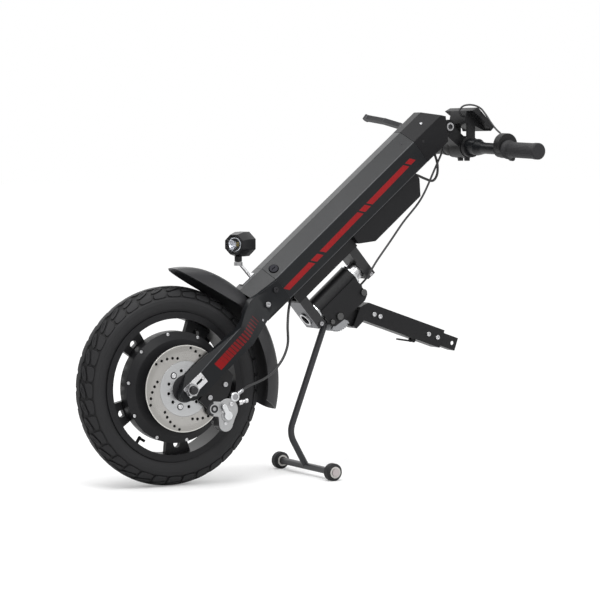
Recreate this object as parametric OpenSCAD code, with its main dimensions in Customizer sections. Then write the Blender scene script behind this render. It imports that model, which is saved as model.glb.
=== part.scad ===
// Electric drive unit for a wheelchair: hub motor wheel, battery beam, steering head, docking arm.
// Millimetres. +X points to the rider, +Y to the rider's right, +Z up; origin on the floor at mid length.

/* [Wheel] */
// Outer radius of the tyre
tyre_r = 185; // [175:1:195]
// Radius of the tyre's round section
tyre_section_r = 30; // [28:0.5:32]
// Thickness of the tyre's carcass
tyre_wall = 6; // [4:0.5:8]
// Depth that the bead seat cuts into the round section
bead_sink = 10; // [8:0.5:12]
// Height of the rim's flanges
flange_h = 3.5; // [2:0.5:5]
// Thickness of the rim's flanges
flange_t = 2.5; // [1.5:0.5:4]
// Thickness of the rim's barrel
barrel_t = 9; // [6:0.5:11]
// Pairs of spokes
spoke_pairs = 5; // [4:1:6]
// Angle of the first pair of spokes
spoke_start = 61; // [0:1:72]
// Angle that a window between two pairs takes up
window_deg = 49; // [40:1:52]
// Width of the spokes across the wheel
spoke_w = 12; // [10:1:16]
// Radius of the hole between the spokes of a pair
spoke_hole_r = 7; // [4:0.5:8]
// Angle of the valve
valve_deg = 237; // [231:1:243]
// Radius of the valve's stem
valve_r = 3; // [2.5:0.5:4]

/* [Motor] */
// Outer radius of the motor's shell
motor_r = 103; // [98:1:106]
// Thickness of the motor's shell
shell_t = 6; // [4:0.5:8]
// Width of the motor's shell between its covers
hub_w = 60; // [54:1:64]
// Width of the shell at its full radius, from the left cover
shell_w = 22; // [20:1:26]
// How much smaller the motor is at its right cover
back_in = 22; // [16:1:26]
// Depth of a motor cover
cover_d = 15; // [12:0.5:18]
// Wall of a motor cover
cover_wall = 5; // [3:0.5:6]
// Width of the bevel round a motor cover
cover_bevel = 14; // [8:1:20]
// Screws in each motor cover
cover_screws = 10; // [8:1:12]
// Radius of a cover screw's head
cover_screw_r = 3.2; // [2.5:0.1:3.6]
// Thickness of the magnet ring
magnet_t = 5; // [3:0.5:7]
// Gap between the magnets and the stator
air_gap = 0.9; // [0.6:0.1:0.9]
// Width of the stator
stator_w = 19; // [14:1:19]
// Teeth of the stator
stator_teeth = 18; // [12:3:24]
// Radius of the axle in the motor
axle_r = 10; // [8:0.5:12]
// Radius of the axle in the fork
axle_end_r = 7; // [5:0.5:7.5]
// Outer radius of the wheel bearings
bearing_r = 21; // [19:0.5:23]
// Width of the wheel bearings
bearing_w = 12; // [9:0.5:14]

/* [Brake] */
// Outer radius of the brake disc
disc_r = 80; // [78:1:82]
// Thickness of the brake disc
disc_t = 2.6; // [2:0.1:3]
// Radius of the disc's carrier
carrier_r = 51; // [46:1:54]
// Thickness of the carrier
carrier_t = 4; // [3.6:0.1:4.4]
// Radius of the boss that holds the disc
boss_r = 24; // [23.5:0.5:26]
// Length of the boss that holds the disc
boss_len = 18; // [16:0.5:20]
// Groups of holes in the disc
hole_groups = 6; // [4:1:7]
// Holes in each group
group_holes = 5; // [3:1:5]
// Radius of a hole in the disc
disc_hole_r = 2.7; // [1.5:0.1:2.9]
// Radius of the circle of carrier bolts
carrier_bolt_circle = 34; // [32:0.5:38]
// Angle of the caliper below the axle
caliper_deg = -33; // [-38:1:-28]
// Length of the caliper along the disc
caliper_len = 62; // [56:1:66]
// Distance of the caliper's outer edge past the disc
caliper_over = 33; // [28:1:36]
// Room between a brake pad and the disc
pad_gap = 0.6; // [0.5:0.1:0.8]

/* [Fork] */
// Gap between a fork leg and the disc's carrier
leg_room = 3; // [2.5:0.5:5]
// Thickness of a fork leg
leg_t = 19; // [15:1:22]
// Distance of a leg's rear edge behind the axle
leg_rear = 24; // [20:1:26]
// Distance of a leg's front edge ahead of the axle
leg_front = 22; // [20:1:26]
// Distance of a leg's front edge ahead at its waist
leg_waist = 17; // [14:1:19]
// Distance of the ridge on a leg's outer face ahead of the axle
leg_ridge = 9; // [7:0.5:11]
// Tilt of the slanted face ahead of the ridge
leg_face_tilt = 32.5; // [28:0.5:36]
// Angle by which the ridge climbs along the leg
leg_face_climb = 3.7; // [3:0.1:5]
// Distance of a leg's foot below the axle
leg_foot = 24; // [20:1:28]
// Thickness of a leg where it is bolted to the crown
leg_root_t = 11; // [9:0.5:14]
// Length of the torque plate on a leg
plate_len = 46; // [40:1:52]
// Width of the torque plate
plate_w = 22; // [18:1:26]
// Thickness of the torque plate
plate_t = 3; // [2:0.5:4]
// Width of an axle nut across its flats
nut_af = 21; // [18:1:22]
// Height of an axle nut
nut_h = 9; // [7:0.5:11]
// Length of the axle past its nut
axle_over = 6; // [3:1:10]

/* [Mudguard] */
// Gap between the tyre and the mudguard
guard_gap = 34.5; // [32:0.5:37]
// Thickness of the mudguard
guard_t = 2.5; // [2:0.1:3]
// Width of the mudguard
guard_w = 80; // [72:1:84]
// Depth of the mudguard's skirts
guard_skirt = 36; // [28:1:38]
// Angle of the mudguard's rear end below the axle
guard_rear_deg = 14; // [5:1:20]
// Angle where the mudguard's nose begins to curl down
nose_from = 70; // [66:1:74]
// Radius of the curl
nose_r = 133; // [125:1:140]
// Angle of the nose's end, about the middle of its curl
guard_nose_deg = 101; // [96:1:106]

/* [Beam] */
// Slope of the beam above the floor
rake = 40; // [38:0.5:42]
// Width of the beam
beam_w = 76; // [74:1:80]
// Width of the flat on the beam's top
beam_flat = 24; // [18:1:30]
// Height of the beam's top above the axle's line
beam_top = 41; // [39:0.5:43]
// Height of the crease along the beam's side
beam_crease = 17; // [14:0.5:20]
// Depth of the beam's bottom below the axle's line
beam_bottom = 33; // [31:0.5:35]
// Wall of the beam
beam_wall = 3; // [2.5:0.1:4]
// Length of the crown below the beam
crown_len = 59; // [55:1:64]
// Wall of the crown
crown_wall = 6; // [5:0.5:8]
// Length of the beam's tube
beam_len = 400; // [380:1:420]
// Length of the upper cap to its corners
cap_len = 61; // [57:1:66]
// Length of the upper cap's point past its corners
cap_point = 27; // [22:1:32]
// Start of the battery pack past the crown
battery_start = 30; // [28:1:34]
// Length of the battery pack
battery_len = 340; // [280:1:380]
// Room round the battery pack
battery_room = 0.6; // [0.4:0.1:0.9]
// Radius of the key switch
key_r = 9; // [7:0.5:9.5]
// Place of the key switch past the crown
key_along = 15; // [13:1:16]

/* [Under the beam] */
// Start of the rail past the crown
rail_start = 15; // [10:1:18]
// Length of the rail
rail_len = 166; // [164:1:180]
// Width of the rail
rail_w = 50; // [46:1:56]
// Height of the rail
rail_h = 25.7; // [24:0.1:27]
// Wall of the rail
rail_wall = 5; // [4:0.5:7]
// Length of the controller
pod_len = 184; // [170:1:190]
// Width of the controller
pod_w = 70; // [64:1:74]
// Depth of the controller under the beam
pod_d = 41.5; // [36:0.5:44]
// Wall of the controller's case
pod_wall = 3; // [2:0.5:4]

/* [Steering head] */
// Distance of the steering axis below the axle's line
steer_drop = 101.5; // [99:0.5:104]
// Outer radius of the head tube
head_r = 22; // [21:0.5:23]
// Length of the head tube
head_len = 100; // [97:1:102]
// Radius of the steerer
steerer_r = 14; // [12:0.5:15]
// Outer radius of the head bearings
head_bearing_r = 19; // [18:0.1:19.4]
// Depth of the head bearings in the tube
head_bearing_d = 12; // [8:0.5:14]
// Thickness of the chrome cups
cup_t = 4; // [3:0.5:5]
// Length of each head clamp along the steerer
clamp_len = 19; // [17:0.5:20]
// Width of the head clamps
clamp_w = 48; // [46:1:50]
// Depth of the head clamps past the steering axis
clamp_d = 23; // [22:0.5:23.5]
// Length of the collar above the head tube
collar_len = 15; // [12:0.5:16]

/* [Coupling] */
// Thickness of the bracket's cheeks
cheek_t = 5; // [4:0.5:7]
// Depth of the cheeks below the steering axis
cheek_d = 47; // [45:0.5:50]
// Place of the arm's pivot along the head tube
pivot_along = 25; // [24:0.5:28]
// Depth of the arm's pivot below the steering axis
pivot_drop = 34.5; // [34:0.1:36]
// Radius of the arm's pivot bolt
pivot_r = 4; // [3:0.5:5]
// Place of the stand's pin along the head tube
stand_along = 6; // [5:0.5:7]
// Depth of the stand's pin below the steering axis
stand_drop = 31.5; // [31:0.1:32]
// Radius of the stand's pin
stand_pin_r = 3; // [2.5:0.1:3.5]
// Place of the tie bolt along the head tube
tie_along = 94; // [90:1:96]

/* [Arm] */
// Slope of the arm below the level
arm_dip = 19; // [16:0.5:22]
// Height of the arm's axis above its pivot
arm_rise = 27.3; // [26:0.1:30]
// Distance of the sleeve's start from the pivot
sleeve_start = 59; // [56:1:62]
// Length of the sleeve
sleeve_len = 184; // [170:1:190]
// Height of the sleeve
sleeve_h = 36; // [34:0.5:38]
// Width of the sleeve
sleeve_w = 34; // [33:0.5:36]
// Side of the square arm tube
tube_side = 26; // [24:0.5:27]
// Wall of the arm tube
tube_wall = 3; // [2:0.5:4]
// Length of the arm tube
tube_len = 160; // [140:1:165]
// Length of the arm tube that shows
tube_out = 38; // [34:1:45]
// Travel of the arm tube into its sleeve
tube_in = 25; // [15:1:30]
// Radius of the docking pin's hole
dock_r = 4; // [3:0.5:5]
// Distance of the docking pin's hole from the tube's end
dock_in = 10; // [8:0.5:12]
// Radius of the toothed index plates
index_r = 30; // [28:0.5:31]
// Thickness of an index plate
index_t = 6; // [4:0.5:7]

/* [Stand] */
// Radius of the stand's tube
stand_r = 6.2; // [5.5:0.1:6.4]
// Distance of the stand's bend ahead of its pin
bend_ahead = 80; // [70:1:85]
// Height of the stand's bend
bend_h = 82; // [75:1:90]
// Radius of the stand's bend
bend_r = 40; // [30:1:48]
// Distance of the rollers ahead of the pin
foot_ahead = 43; // [36:1:50]
// Radius of the rollers
roller_r = 16.5; // [15:0.5:18]
// Width of a roller
roller_w = 20; // [16:1:22]
// Distance between the rollers' middles
roller_span = 202; // [190:1:210]
// Radius of the rollers' axle
roller_axle_r = 5; // [4:0.5:6]

/* [Handlebar] */
// Radius of the stem's knuckle
knuckle_r = 14; // [12:0.5:15]
// Width of the stem's knuckle
knuckle_w = 39; // [34:1:42]
// Radius of the stem's pivot bolt
stem_bolt_r = 5; // [4:0.5:6]
// Distance of the bar behind the stem's pivot
bar_back = 51; // [48:1:56]
// Depth of the bar below the stem's pivot
bar_down = 39; // [36:1:42]
// Radius of the bar at the grips
bar_r = 11; // [10:0.5:12]
// Radius of the bar's thick middle
bar_mid_r = 15.5; // [14:0.5:16.5]
// Length of the bar's thick middle
bar_mid_len = 110; // [100:1:116]
// Width across the bar's ends
bar_w = 516; // [480:2:540]
// Drop of the bar's ends
bar_droop = 2; // [0:0.5:4]
// Length of a grip
grip_len = 102; // [90:1:110]
// Radius of a grip
grip_r = 15; // [14:0.5:16.5]
// Radius of a grip's flange
grip_flange_r = 18.5; // [17:0.5:21]
// Radius of the throttle's housing
throttle_r = 22; // [20:0.5:24]
// Width of the throttle's housing
throttle_w = 18; // [16:1:20]
// Width of the display
display_w = 100; // [90:1:110]
// Height of the display's screen
screen_h = 54; // [46:1:56]
// Tilt of the screen from upright
screen_tilt = 46; // [40:1:52]
// Height of the display's top above the bar
display_lift = 77; // [74:1:80]
// Thickness of the display's edge
display_t = 12; // [10:0.5:14]
// Direction of the brake lever from the bar
lever_deg = 141; // [136:1:146]
// Reach of the brake lever's pivot from the bar
lever_reach = 41; // [39:1:44]
// Reach of the brake lever's tip from the bar
lever_tip_reach = 94; // [88:1:98]
// Thickness of the brake lever
lever_t = 10; // [8:0.5:11]

/* [Lamp] */
// Place of the lamp along the beam, past the mudguard
lamp_along = 35; // [32:1:38]
// Height of the lamp's foot above the beam's top
lamp_lift = 38; // [34:1:42]
// Turn of the lamp to the rider's left
lamp_yaw = 35; // [0:1:40]
// Width of the lamp across its flats
lamp_af = 46; // [42:1:50]
// Length of the lamp
lamp_len = 46; // [40:1:50]
// Radius of the lamp's lens
lens_r = 14; // [12:0.5:16]
// Radius of the lamp's rod
rod_r = 3; // [2.5:0.1:3.5]

/* [Cables] */
// Radius of the brake's hose
hose_r = 2.5; // [2:0.1:3]
// Radius of the release cable
release_r = 2; // [1.5:0.1:2.2]
// Radius of the motor's harness
harness_r = 2.5; // [2:0.1:3]
// Radius of the display's cable
display_cable_r = 1.8; // [1.5:0.1:2]

/* [Hidden] */
$fn = 64;
eps = 0.01;
fit = 0.2;
run = 0.05;
slack = 0.5;

// Heights and widths that follow from the sizes above
bead_r = tyre_r - 2 * tyre_section_r + bead_sink;
window_r = bead_r - barrel_t;
seat_half = tyre_half(bead_r + fit);
flange_half = tyre_half(bead_r + flange_h) + fit;
hub_half = hub_w / 2;
shell_0 = hub_half - shell_w;
shell_mid = hub_half - shell_w / 2;
back_r = motor_r - back_in;
cover_y = hub_half + cover_d;
disc_seat = cover_y + boss_len;
leg_in = disc_seat + carrier_t + leg_room;
leg_out = leg_in + leg_t;
nut_y = leg_out + plate_t;
axle_half = nut_y + nut_h + axle_over;
guard_r = tyre_r + guard_gap + guard_t;
beam_half = beam_w / 2;
flat_half = beam_flat / 2;
beam_0 = guard_r + crown_len;
beam_1 = beam_0 + beam_len;
cap_1 = beam_1 + cap_len;
rail_0 = beam_0 + rail_start;
rail_1 = rail_0 + rail_len;
rail_b = beam_bottom + rail_h;
pod_0 = rail_1 + 1;
pod_1 = pod_0 + pod_len;
pod_b = beam_bottom + pod_d;
clamp_0 = rail_0 + 1;
cup_0 = clamp_0 + clamp_len + slack;
head_0 = cup_0 + cup_t;
head_1 = head_0 + head_len;
collar_0 = head_1 + cup_t + slack;
clamp_1 = collar_0 + collar_len;
cheek_y = head_r - 2;
pivot_a = head_0 + pivot_along;
stand_a = head_0 + stand_along;
tie_a = head_0 + tie_along;
pivot_b = steer_drop + pivot_drop;
stand_b = steer_drop + stand_drop;
stand_z = tyre_r + stand_a * sin(rake) - stand_b * cos(rake);
sleeve_end = sleeve_start + sleeve_len;
tube_end = sleeve_end + tube_out;
stem_a = cap_1 + cap_point - 2;
stem_b = beam_bottom / 2;
display_back = 2 + screen_h * sin(screen_tilt);
screen_low = display_lift - screen_h * cos(screen_tilt);
rear_x = stem_a * cos(rake) + stem_b * sin(rake) + bar_back + display_back;
axle_x = -(rear_x - tyre_r) / 2;
grip_end = bar_w / 2;
grip_start = grip_end - grip_len;

// Half width of the tyre's section at a distance from the axle
function tyre_half(r) = sqrt(pow(tyre_section_r, 2) - pow(tyre_r - tyre_section_r - r, 2));
// Point at a distance and an angle
function polar(r, deg) = [r * cos(deg), r * sin(deg)];
function unit(v) = v / norm(v);
// Smooth run of points through the route of a cable
function curve_at(p, q, r, s, t) =
    0.5 * (2 * q + (r - p) * t + (2 * p - 5 * q + 4 * r - s) * t * t + (3 * q - p - 3 * r + s) * t * t * t);
function smooth(route, steps) = [
    for (i = [0:len(route) - 2], j = [0:steps - 1])
        curve_at(route[max(i - 1, 0)], route[i], route[i + 1], route[min(i + 2, len(route) - 1)],
            j / steps),
    route[len(route) - 1]];

// Places that the pieces are drawn from
module at_axle() translate([axle_x, 0, tyre_r]) children();
module on_axle() at_axle() rotate([90, 0, 0]) children();
module on_beam() at_axle() rotate([0, -rake, 0]) children();
module on_steerer() on_beam() translate([0, 0, -steer_drop]) children();
module on_arm() on_beam() translate([pivot_a, 0, -pivot_b]) rotate([0, rake + arm_dip, 0]) children();
module on_stand() on_beam() translate([stand_a, 0, -stand_b]) rotate([0, rake, 0]) children();
module on_stem() on_beam() translate([stem_a, 0, -stem_b]) rotate([0, rake, 0]) children();
module on_bar() on_stem() translate([bar_back, 0, -bar_down]) children();
module on_lever() on_bar() rotate([0, -lever_deg, 0]) children();
module on_lamp() on_beam() translate([guard_r + lamp_along, 0, beam_top + lamp_lift])
    rotate([0, rake, 0]) rotate([0, 0, lamp_yaw]) children();
module on_caliper() on_axle() rotate([0, 0, caliper_deg]) children();
// The bar's left and right halves, drooping from the middle
module bar_side(side) on_bar() rotate([-side * bar_droop, 0, 0]) children();

// Shapes that repeat
module pin_y(r, from, to) translate([0, to, 0]) rotate([90, 0, 0]) cylinder(r = r, h = to - from);
module pin_x(r, from, to) translate([from, 0, 0]) rotate([0, 90, 0]) cylinder(r = r, h = to - from);
module slab_y(from, to) translate([0, to, 0]) rotate([90, 0, 0]) linear_extrude(to - from) children();
module prism_x(from, to) translate([from, 0, 0]) rotate([90, 0, 90]) linear_extrude(to - from) children();
module box(from, to) translate(from) cube(to - from);
module both_sides() {
    children();
    mirror([0, 1, 0]) children();
}
module ring(n, start = 0) for (i = [0:n - 1]) rotate([0, 0, start + i * 360 / n]) children();
// Round-ended bar in a plane
module capsule(p, q, r) {
    across = r * [-(q - p)[1], (q - p)[0]] / norm(q - p);
    translate(p) circle(r);
    translate(q) circle(r);
    polygon([p + across, p - across, q - across, q + across]);
}
// Cap screw with its head on +Z and its seat at the origin
module cap_screw(head_r, head_h, shank_r, shank_len) {
    difference() {
        cylinder(r = head_r, h = head_h);
        translate([0, 0, head_h / 2]) cylinder(r = head_r / 2, h = head_h, $fn = 6);
    }
    translate([0, 0, -shank_len]) cylinder(r = shank_r, h = shank_len + eps);
}
// Tube with flat sides, swept along points that don't run along Y
module sweep(path, r, sides) {
    last = len(path) - 1;
    points = [for (i = [0:last]) let( t = unit(path[min(i + 1, last)] - path[max(i - 1, 0)]),
        u = unit(cross([0, 1, 0], t)), v = cross(t, u)) for (k = [0:sides - 1]) path[i]
        + r * (u * cos(360 * k / sides) + v * sin(360 * k / sides))];
    walls = [for (i = [0:last - 1], k = [0:sides - 1])
        let( a = i * sides + k, b = i * sides + (k + 1) % sides)
        each [[a, a + sides, b], [b, a + sides, b + sides]]];
    polyhedron(points, concat(walls, [[for (k = [0:sides - 1]) k],
        [for (k = [sides - 1:-1:0]) last * sides + k]]));
}
// Section of the beam, in from its outside by a wall
module beam_section(in = 0) {
    slope = atan2(beam_top - beam_crease, beam_half - flat_half);
    flat_y = flat_half - in * tan(slope / 2);
    side_y = beam_half - in;
    crease_z = beam_crease - in * tan(45 - slope / 2);
    polygon([[flat_y, beam_top - in], [side_y, crease_z], [side_y, in - beam_bottom],
        [-side_y, in - beam_bottom], [-side_y, crease_z], [-flat_y, beam_top - in]]);
}

// Beam
module beam_shell() color("#26272b") on_beam() difference() {
    prism_x(beam_0, beam_1) beam_section();
    prism_x(beam_0 - 1, beam_1 + 1) beam_section(beam_wall);
    key_place() cylinder(r = key_r + 2 * run, h = 4 * beam_wall, center = true);
}
module key_place() {
    slope = atan2(beam_top - beam_crease, beam_half - flat_half);
    mid = [(beam_half + flat_half) / 2, (beam_top + beam_crease) / 2];
    translate([beam_0 + key_along, -mid[0], mid[1]]) rotate([slope, 0, 0]) children();
}
key_depth = 7;
module key_switch() color("#3a3b40") on_beam() key_place() difference() {
    union() {
        translate([0, 0, -key_depth]) cylinder(r = key_r, h = key_depth + 1);
        translate([0, 0, 1 - eps]) cylinder(r1 = key_r, r2 = key_r - 1, h = 1);
    }
    translate([-key_r / 2, -0.8, 0]) cube([key_r, 1.6, 3]);
}
lug_t = 9;
module beam_upper_cap() color("#1d1e21") on_beam() difference() {
    union() {
        intersection() {
            prism_x(beam_1, cap_1 + cap_point) beam_section();
            slab_y(-beam_half, beam_half) polygon([[beam_1, -beam_bottom], [cap_1, -beam_bottom],
                [cap_1 + cap_point, beam_crease / 2], [cap_1, beam_top], [beam_1, beam_top]]);
        }
        translate([stem_a, 0, -stem_b]) both_sides() pin_y(knuckle_r, knuckle_w / 2 + slack,
            knuckle_w / 2 + lug_t);
    }
    prism_x(beam_1 - 1, cap_1 - knuckle_r) beam_section(beam_wall);
    // Room for the stem between the lugs
    translate([stem_a, 0, -stem_b]) pin_y(knuckle_r + 2, -knuckle_w / 2 - slack, knuckle_w / 2 + slack);
    translate([stem_a, 0, -stem_b]) slab_y(-knuckle_w / 2 - slack, knuckle_w / 2 + slack)
        polygon([[-knuckle_r - 2, 0], [-knuckle_r - 2, -60], [40, -60], [40, 40], [0, knuckle_r + 2]]);
    translate([stem_a, 0, -stem_b]) pin_y(stem_bolt_r + fit, -beam_w, beam_w);
}
module fork_crown() color("#202125") on_beam() difference() {
    prism_x(guard_r - 20, beam_0) beam_section();
    rotate([90, 0, 0]) cylinder(r = guard_r + fit, h = 2 * beam_w, center = true);
    prism_x(guard_r + 3 * crown_wall, beam_0 + 1) beam_section(crown_wall);
    crown_bolt_places() cylinder(r = 3 + fit, h = 2 * crown_wall, center = true);
}
module battery_pack() color("#3b5d8a") on_beam() {
    in = beam_wall + battery_room;
    prism_x(beam_0 + battery_start, beam_0 + battery_start + battery_len) beam_section(in);
}

// Rail, controller and steering head on the frame's side
module mount_rail() color("#2a2b2f") on_beam() difference() {
    box([rail_0, -rail_w / 2, -rail_b], [rail_1, rail_w / 2, -beam_bottom]);
    box([rail_0 - 1, rail_wall - rail_w / 2, rail_wall - rail_b],
        [rail_1 + 1, rail_w / 2 - rail_wall, 1 - beam_bottom]);
}
module pod_outline(in) polygon([[pod_0 + in, -beam_bottom + eps], [pod_0 + in, -beam_bottom - pod_d / 2],
    [pod_0 + pod_d * 0.75 + in / 2, in - pod_b], [pod_1 - 20 - in / 2, in - pod_b],
    [pod_1 - in, -beam_bottom - pod_d / 3], [pod_1 - in, -beam_bottom + eps]]);
gland_at = [pod_1, -4, -beam_bottom - 8];
module controller_case() color("#232428") on_beam() difference() {
    union() {
        slab_y(-pod_w / 2, pod_w / 2) pod_outline(0);
        translate(gland_at) pin_x(harness_r + 2, -1, 3);
    }
    translate(gland_at) pin_x(harness_r + slack, 0, 6);
    difference() {
        slab_y(pod_wall - pod_w / 2, pod_w / 2 - pod_wall) pod_outline(pod_wall);
        box([pod_0, -pod_w, -beam_bottom - pod_wall], [pod_1, pod_w, 0]);
    }
    box([0, -beam_w, -beam_bottom], [beam_1, beam_w, 0]);
}
module head_clamp(from) difference() {
    box([from, -clamp_w / 2, -clamp_d], [from + clamp_len, clamp_w / 2, steer_drop - rail_b]);
    pin_x(steerer_r + fit, from - 1, from + clamp_len + 1);
    box([from - 1, -1, -clamp_d - 1], [from + clamp_len + 1, 1, 0]);
    clamp_bolt_places(from) pin_y(2.5 + fit, -clamp_w, clamp_w);
}
module clamp_bolt_places(from) translate([from + clamp_len / 2, 0, -clamp_d + 5]) children();
module head_clamps() color("#8d9096") on_steerer() {
    head_clamp(clamp_0);
    head_clamp(clamp_1);
}
module steerer() color("#c9ccd1") on_steerer() difference() {
    union() {
        pin_x(steerer_r, clamp_0 - 3, clamp_1 + clamp_len + 3);
        pin_x(steerer_r + 4, collar_0, clamp_1 - fit);
    }
    pin_x(steerer_r - 4, clamp_0 - 4, clamp_1 + clamp_len + 4);
}
module crown_bolt_places() for (side = [-1, 1], p = [[guard_r + 12, -4], [guard_r + 42, 6]])
    translate([p[0], side * beam_half, p[1]]) rotate([-side * 90, 0, 0]) children();
module frame_bolts() color("#b9bcc2") on_beam() {
    crown_bolt_places() translate([0, 0, leg_root_t]) cap_screw(5, 4, 3, leg_root_t + crown_wall - 1);
    translate([0, 0, -steer_drop]) for (from = [clamp_0, clamp_1]) clamp_bolt_places(from)
        translate([0, -clamp_w / 2, 0]) rotate([90, 0, 0]) cap_screw(4.2, 4, 2.5, clamp_w);
    bracket_bolts_at() translate([0, -leg_in - bracket_t - 1, 0]) rotate([90, 0, 0]) cap_screw(4.6, 3.5,
        2.6, bracket_t - 1);
    translate([stem_a, -knuckle_w / 2 - lug_t, -stem_b]) rotate([90, 0, 0])
        cap_screw(8, 4, stem_bolt_r, knuckle_w + 2 * lug_t);
}

// Fork
module leg_outline() polygon([[-leg_foot, -6], [-leg_foot + 4, 6], [-8, 11], [17, leg_front - 1],
    [44, leg_front], [89, leg_waist + 3], [150, leg_waist], [185, leg_waist + 10],
    [guard_r - 14, beam_crease + 12], [guard_r + 8, beam_crease + 6], [beam_0 - 2, beam_crease],
    [beam_0 - 2, -leg_rear], [70, -leg_rear], [20, -leg_rear - 3], [-8, -leg_rear + 4]]);
module leg_plan() polygon([[-leg_foot - 1, leg_in], [guard_r - 57, leg_in], [guard_r - 8, beam_half],
    [beam_0, beam_half], [beam_0, beam_half + leg_root_t], [guard_r + 4, beam_half + leg_root_t],
    [guard_r - 72, leg_out], [-leg_foot - 1, leg_out]]);
module fork_leg(side) on_beam() mirror([0, side > 0 ? 0 : 1, 0]) difference() {
    intersection() {
        slab_y(0, 2 * leg_out) leg_outline();
        translate([0, 0, -2 * leg_rear]) linear_extrude(4 * leg_rear + beam_top) leg_plan();
    }
    translate([14, leg_out, leg_ridge]) rotate([-leg_face_tilt, -leg_face_climb, 0])
        translate([-60, -60, 0]) cube([260, 120, 60]);
    pin_y(axle_end_r + fit, 0, 2 * leg_out);
    for (p = [[guard_r + 12, -4], [guard_r + 42, 6]]) translate([p[0], 0, p[1]]) pin_y(3 + fit, 0,
        2 * leg_out);
}
module fork_leg_left() color("#1f2023") fork_leg(-1);
module fork_leg_right() color("#1f2023") fork_leg(1);
module axle() color("#9a9da3") on_axle() {
    cylinder(r = axle_r, h = 2 * leg_in, center = true);
    cylinder(r = axle_end_r, h = 2 * axle_half, center = true);
    translate([0, 0, shell_mid]) cylinder(r = axle_r + 4, h = stator_w + 4, center = true);
}
module axle_nuts() color("#17181a") on_axle() both_faces() difference() {
    union() {
        translate([0, 0, nut_y]) cylinder(r = nut_af / 2 + 1.5, h = 2);
        translate([0, 0, nut_y + 2]) cylinder(r = nut_af / sqrt(3), h = nut_h - 2, $fn = 6);
    }
    cylinder(r = axle_end_r + fit, h = 2 * axle_half);
}
module both_faces() {
    children();
    mirror([0, 0, 1]) children();
}
module torque_plates() color("#c4c7cc") on_beam() both_sides() slab_y(leg_out, nut_y) difference() {
    translate([-plate_w / 2, -plate_w / 2]) square([plate_len, plate_w]);
    circle(axle_end_r + fit);
    capsule([plate_w / 2 + 6, 0], [plate_len - plate_w / 2 - 8, 0], 2.5);
}
tooth_w = 9;
module motor_stator() color("#b87333") on_axle() translate([0, 0, shell_mid])
    linear_extrude(stator_w, center = true) difference() {
    core_r = motor_r - shell_t - magnet_t - air_gap;
    yoke_r = axle_r + 44;
    union() {
        circle(yoke_r);
        ring(stator_teeth) translate([yoke_r - 2, -tooth_w / 2]) square([core_r - yoke_r - 3, tooth_w]);
        difference() {
            circle(core_r);
            circle(core_r - 7);
            ring(stator_teeth, 180 / stator_teeth) translate([core_r - 10, -1.5]) square([20, 3]);
        }
    }
    circle(axle_r + 4 + fit);
    ring(6) translate([axle_r + 26, 0]) circle(9);
}

// Mudguard
module guard_profile() {
    half = guard_w / 2;
    outer = [[0, guard_r], [half * 0.45, guard_r - 2], [half * 0.82, guard_r - guard_skirt / 2],
        [half, guard_r - guard_skirt]];
    inner = [for (p = outer) p - [guard_t * p[0] / half, guard_t * (1 - 0.6 * p[0] / half)]];
    left_side = [for (i = [3:-1:1]) [-outer[i][0], outer[i][1]]];
    left_inside = [for (i = [1:3]) [-inner[i][0], inner[i][1]]];
    rim = concat(left_side, outer, [for (i = [3:-1:0]) inner[i]], left_inside);
    polygon([for (p = rim) [p[1], p[0]]]);
}
module on_nose(angle) translate(polar(guard_r - nose_r, nose_from)) rotate([0, 0, angle]) children();
module mudguard() color("#232427") on_axle() difference() {
    union() {
        rotate([0, 0, -guard_rear_deg]) rotate_extrude(angle = nose_from + guard_rear_deg, $fn = 128)
            guard_profile();
        on_nose(nose_from) rotate_extrude(angle = guard_nose_deg - nose_from, $fn = 128)
            translate([nose_r - guard_r, 0]) guard_profile();
    }
    // Slanted ends that leave the top of each longest
    on_nose(guard_nose_deg) translate([nose_r + 1, 0, 0]) rotate([0, 0, 50])
        translate([-150, 0, -guard_w]) cube([150, 60, 2 * guard_w]);
    rotate([0, 0, -guard_rear_deg]) translate([guard_r + 1, 0, 0]) rotate([0, 0, -20])
        translate([-100, -60, -guard_w]) cube([100, 60, 2 * guard_w]);
}

// Brake
caliper_mid = disc_r + 6;
bracket_t = 7;
arm_pivot = caliper_mid + 10;
module caliper_bracket() color("#1c1d20") difference() {
    on_beam() slab_y(-leg_in - bracket_t - 1, -leg_in - 1)
        polygon([[20, -leg_rear - 3], [70, -leg_rear], [84, -leg_rear], [86, -leg_rear - 20],
        [62, -leg_rear - 38], [40, -leg_rear - 46], [8, -leg_rear - 36], [4, -leg_rear - 8]]);
    on_beam() bracket_bolts_at() pin_y(2.6 + fit, -2 * leg_in, 0);
    on_caliper() translate([caliper_mid, 0, 0]) linear_extrude(2 * leg_in) caliper_shape(run);
}
module bracket_bolts_at() for (p = [[62, -leg_rear - 21], [23, -leg_rear - 18]])
    translate([p[0], 0, p[1]]) children();
module caliper_body() color("#c3c5c8") on_caliper() difference() {
    union() {
        translate([caliper_mid, 0, disc_seat - 9]) linear_extrude(24) caliper_shape();
        translate([arm_pivot, 0, disc_seat + 14]) cylinder(r = 12, h = 4);
        hose_stop(5, 0);
    }
    // Slot for the disc and room for the pads
    translate([0, 0, disc_seat - 2]) cylinder(r = disc_r + 3, h = carrier_t + 5);
    pad_place() translate([0, 0, disc_0 - pad_gap - pad_t]) cylinder(r = pad_r + fit,
        h = disc_t + 2 * pad_gap + 2 * pad_t);
    translate([arm_pivot, 0, disc_seat + 10]) cylinder(r = 5 + run, h = 20);
    hose_stop(hose_r + fit, 4);
}
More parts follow.
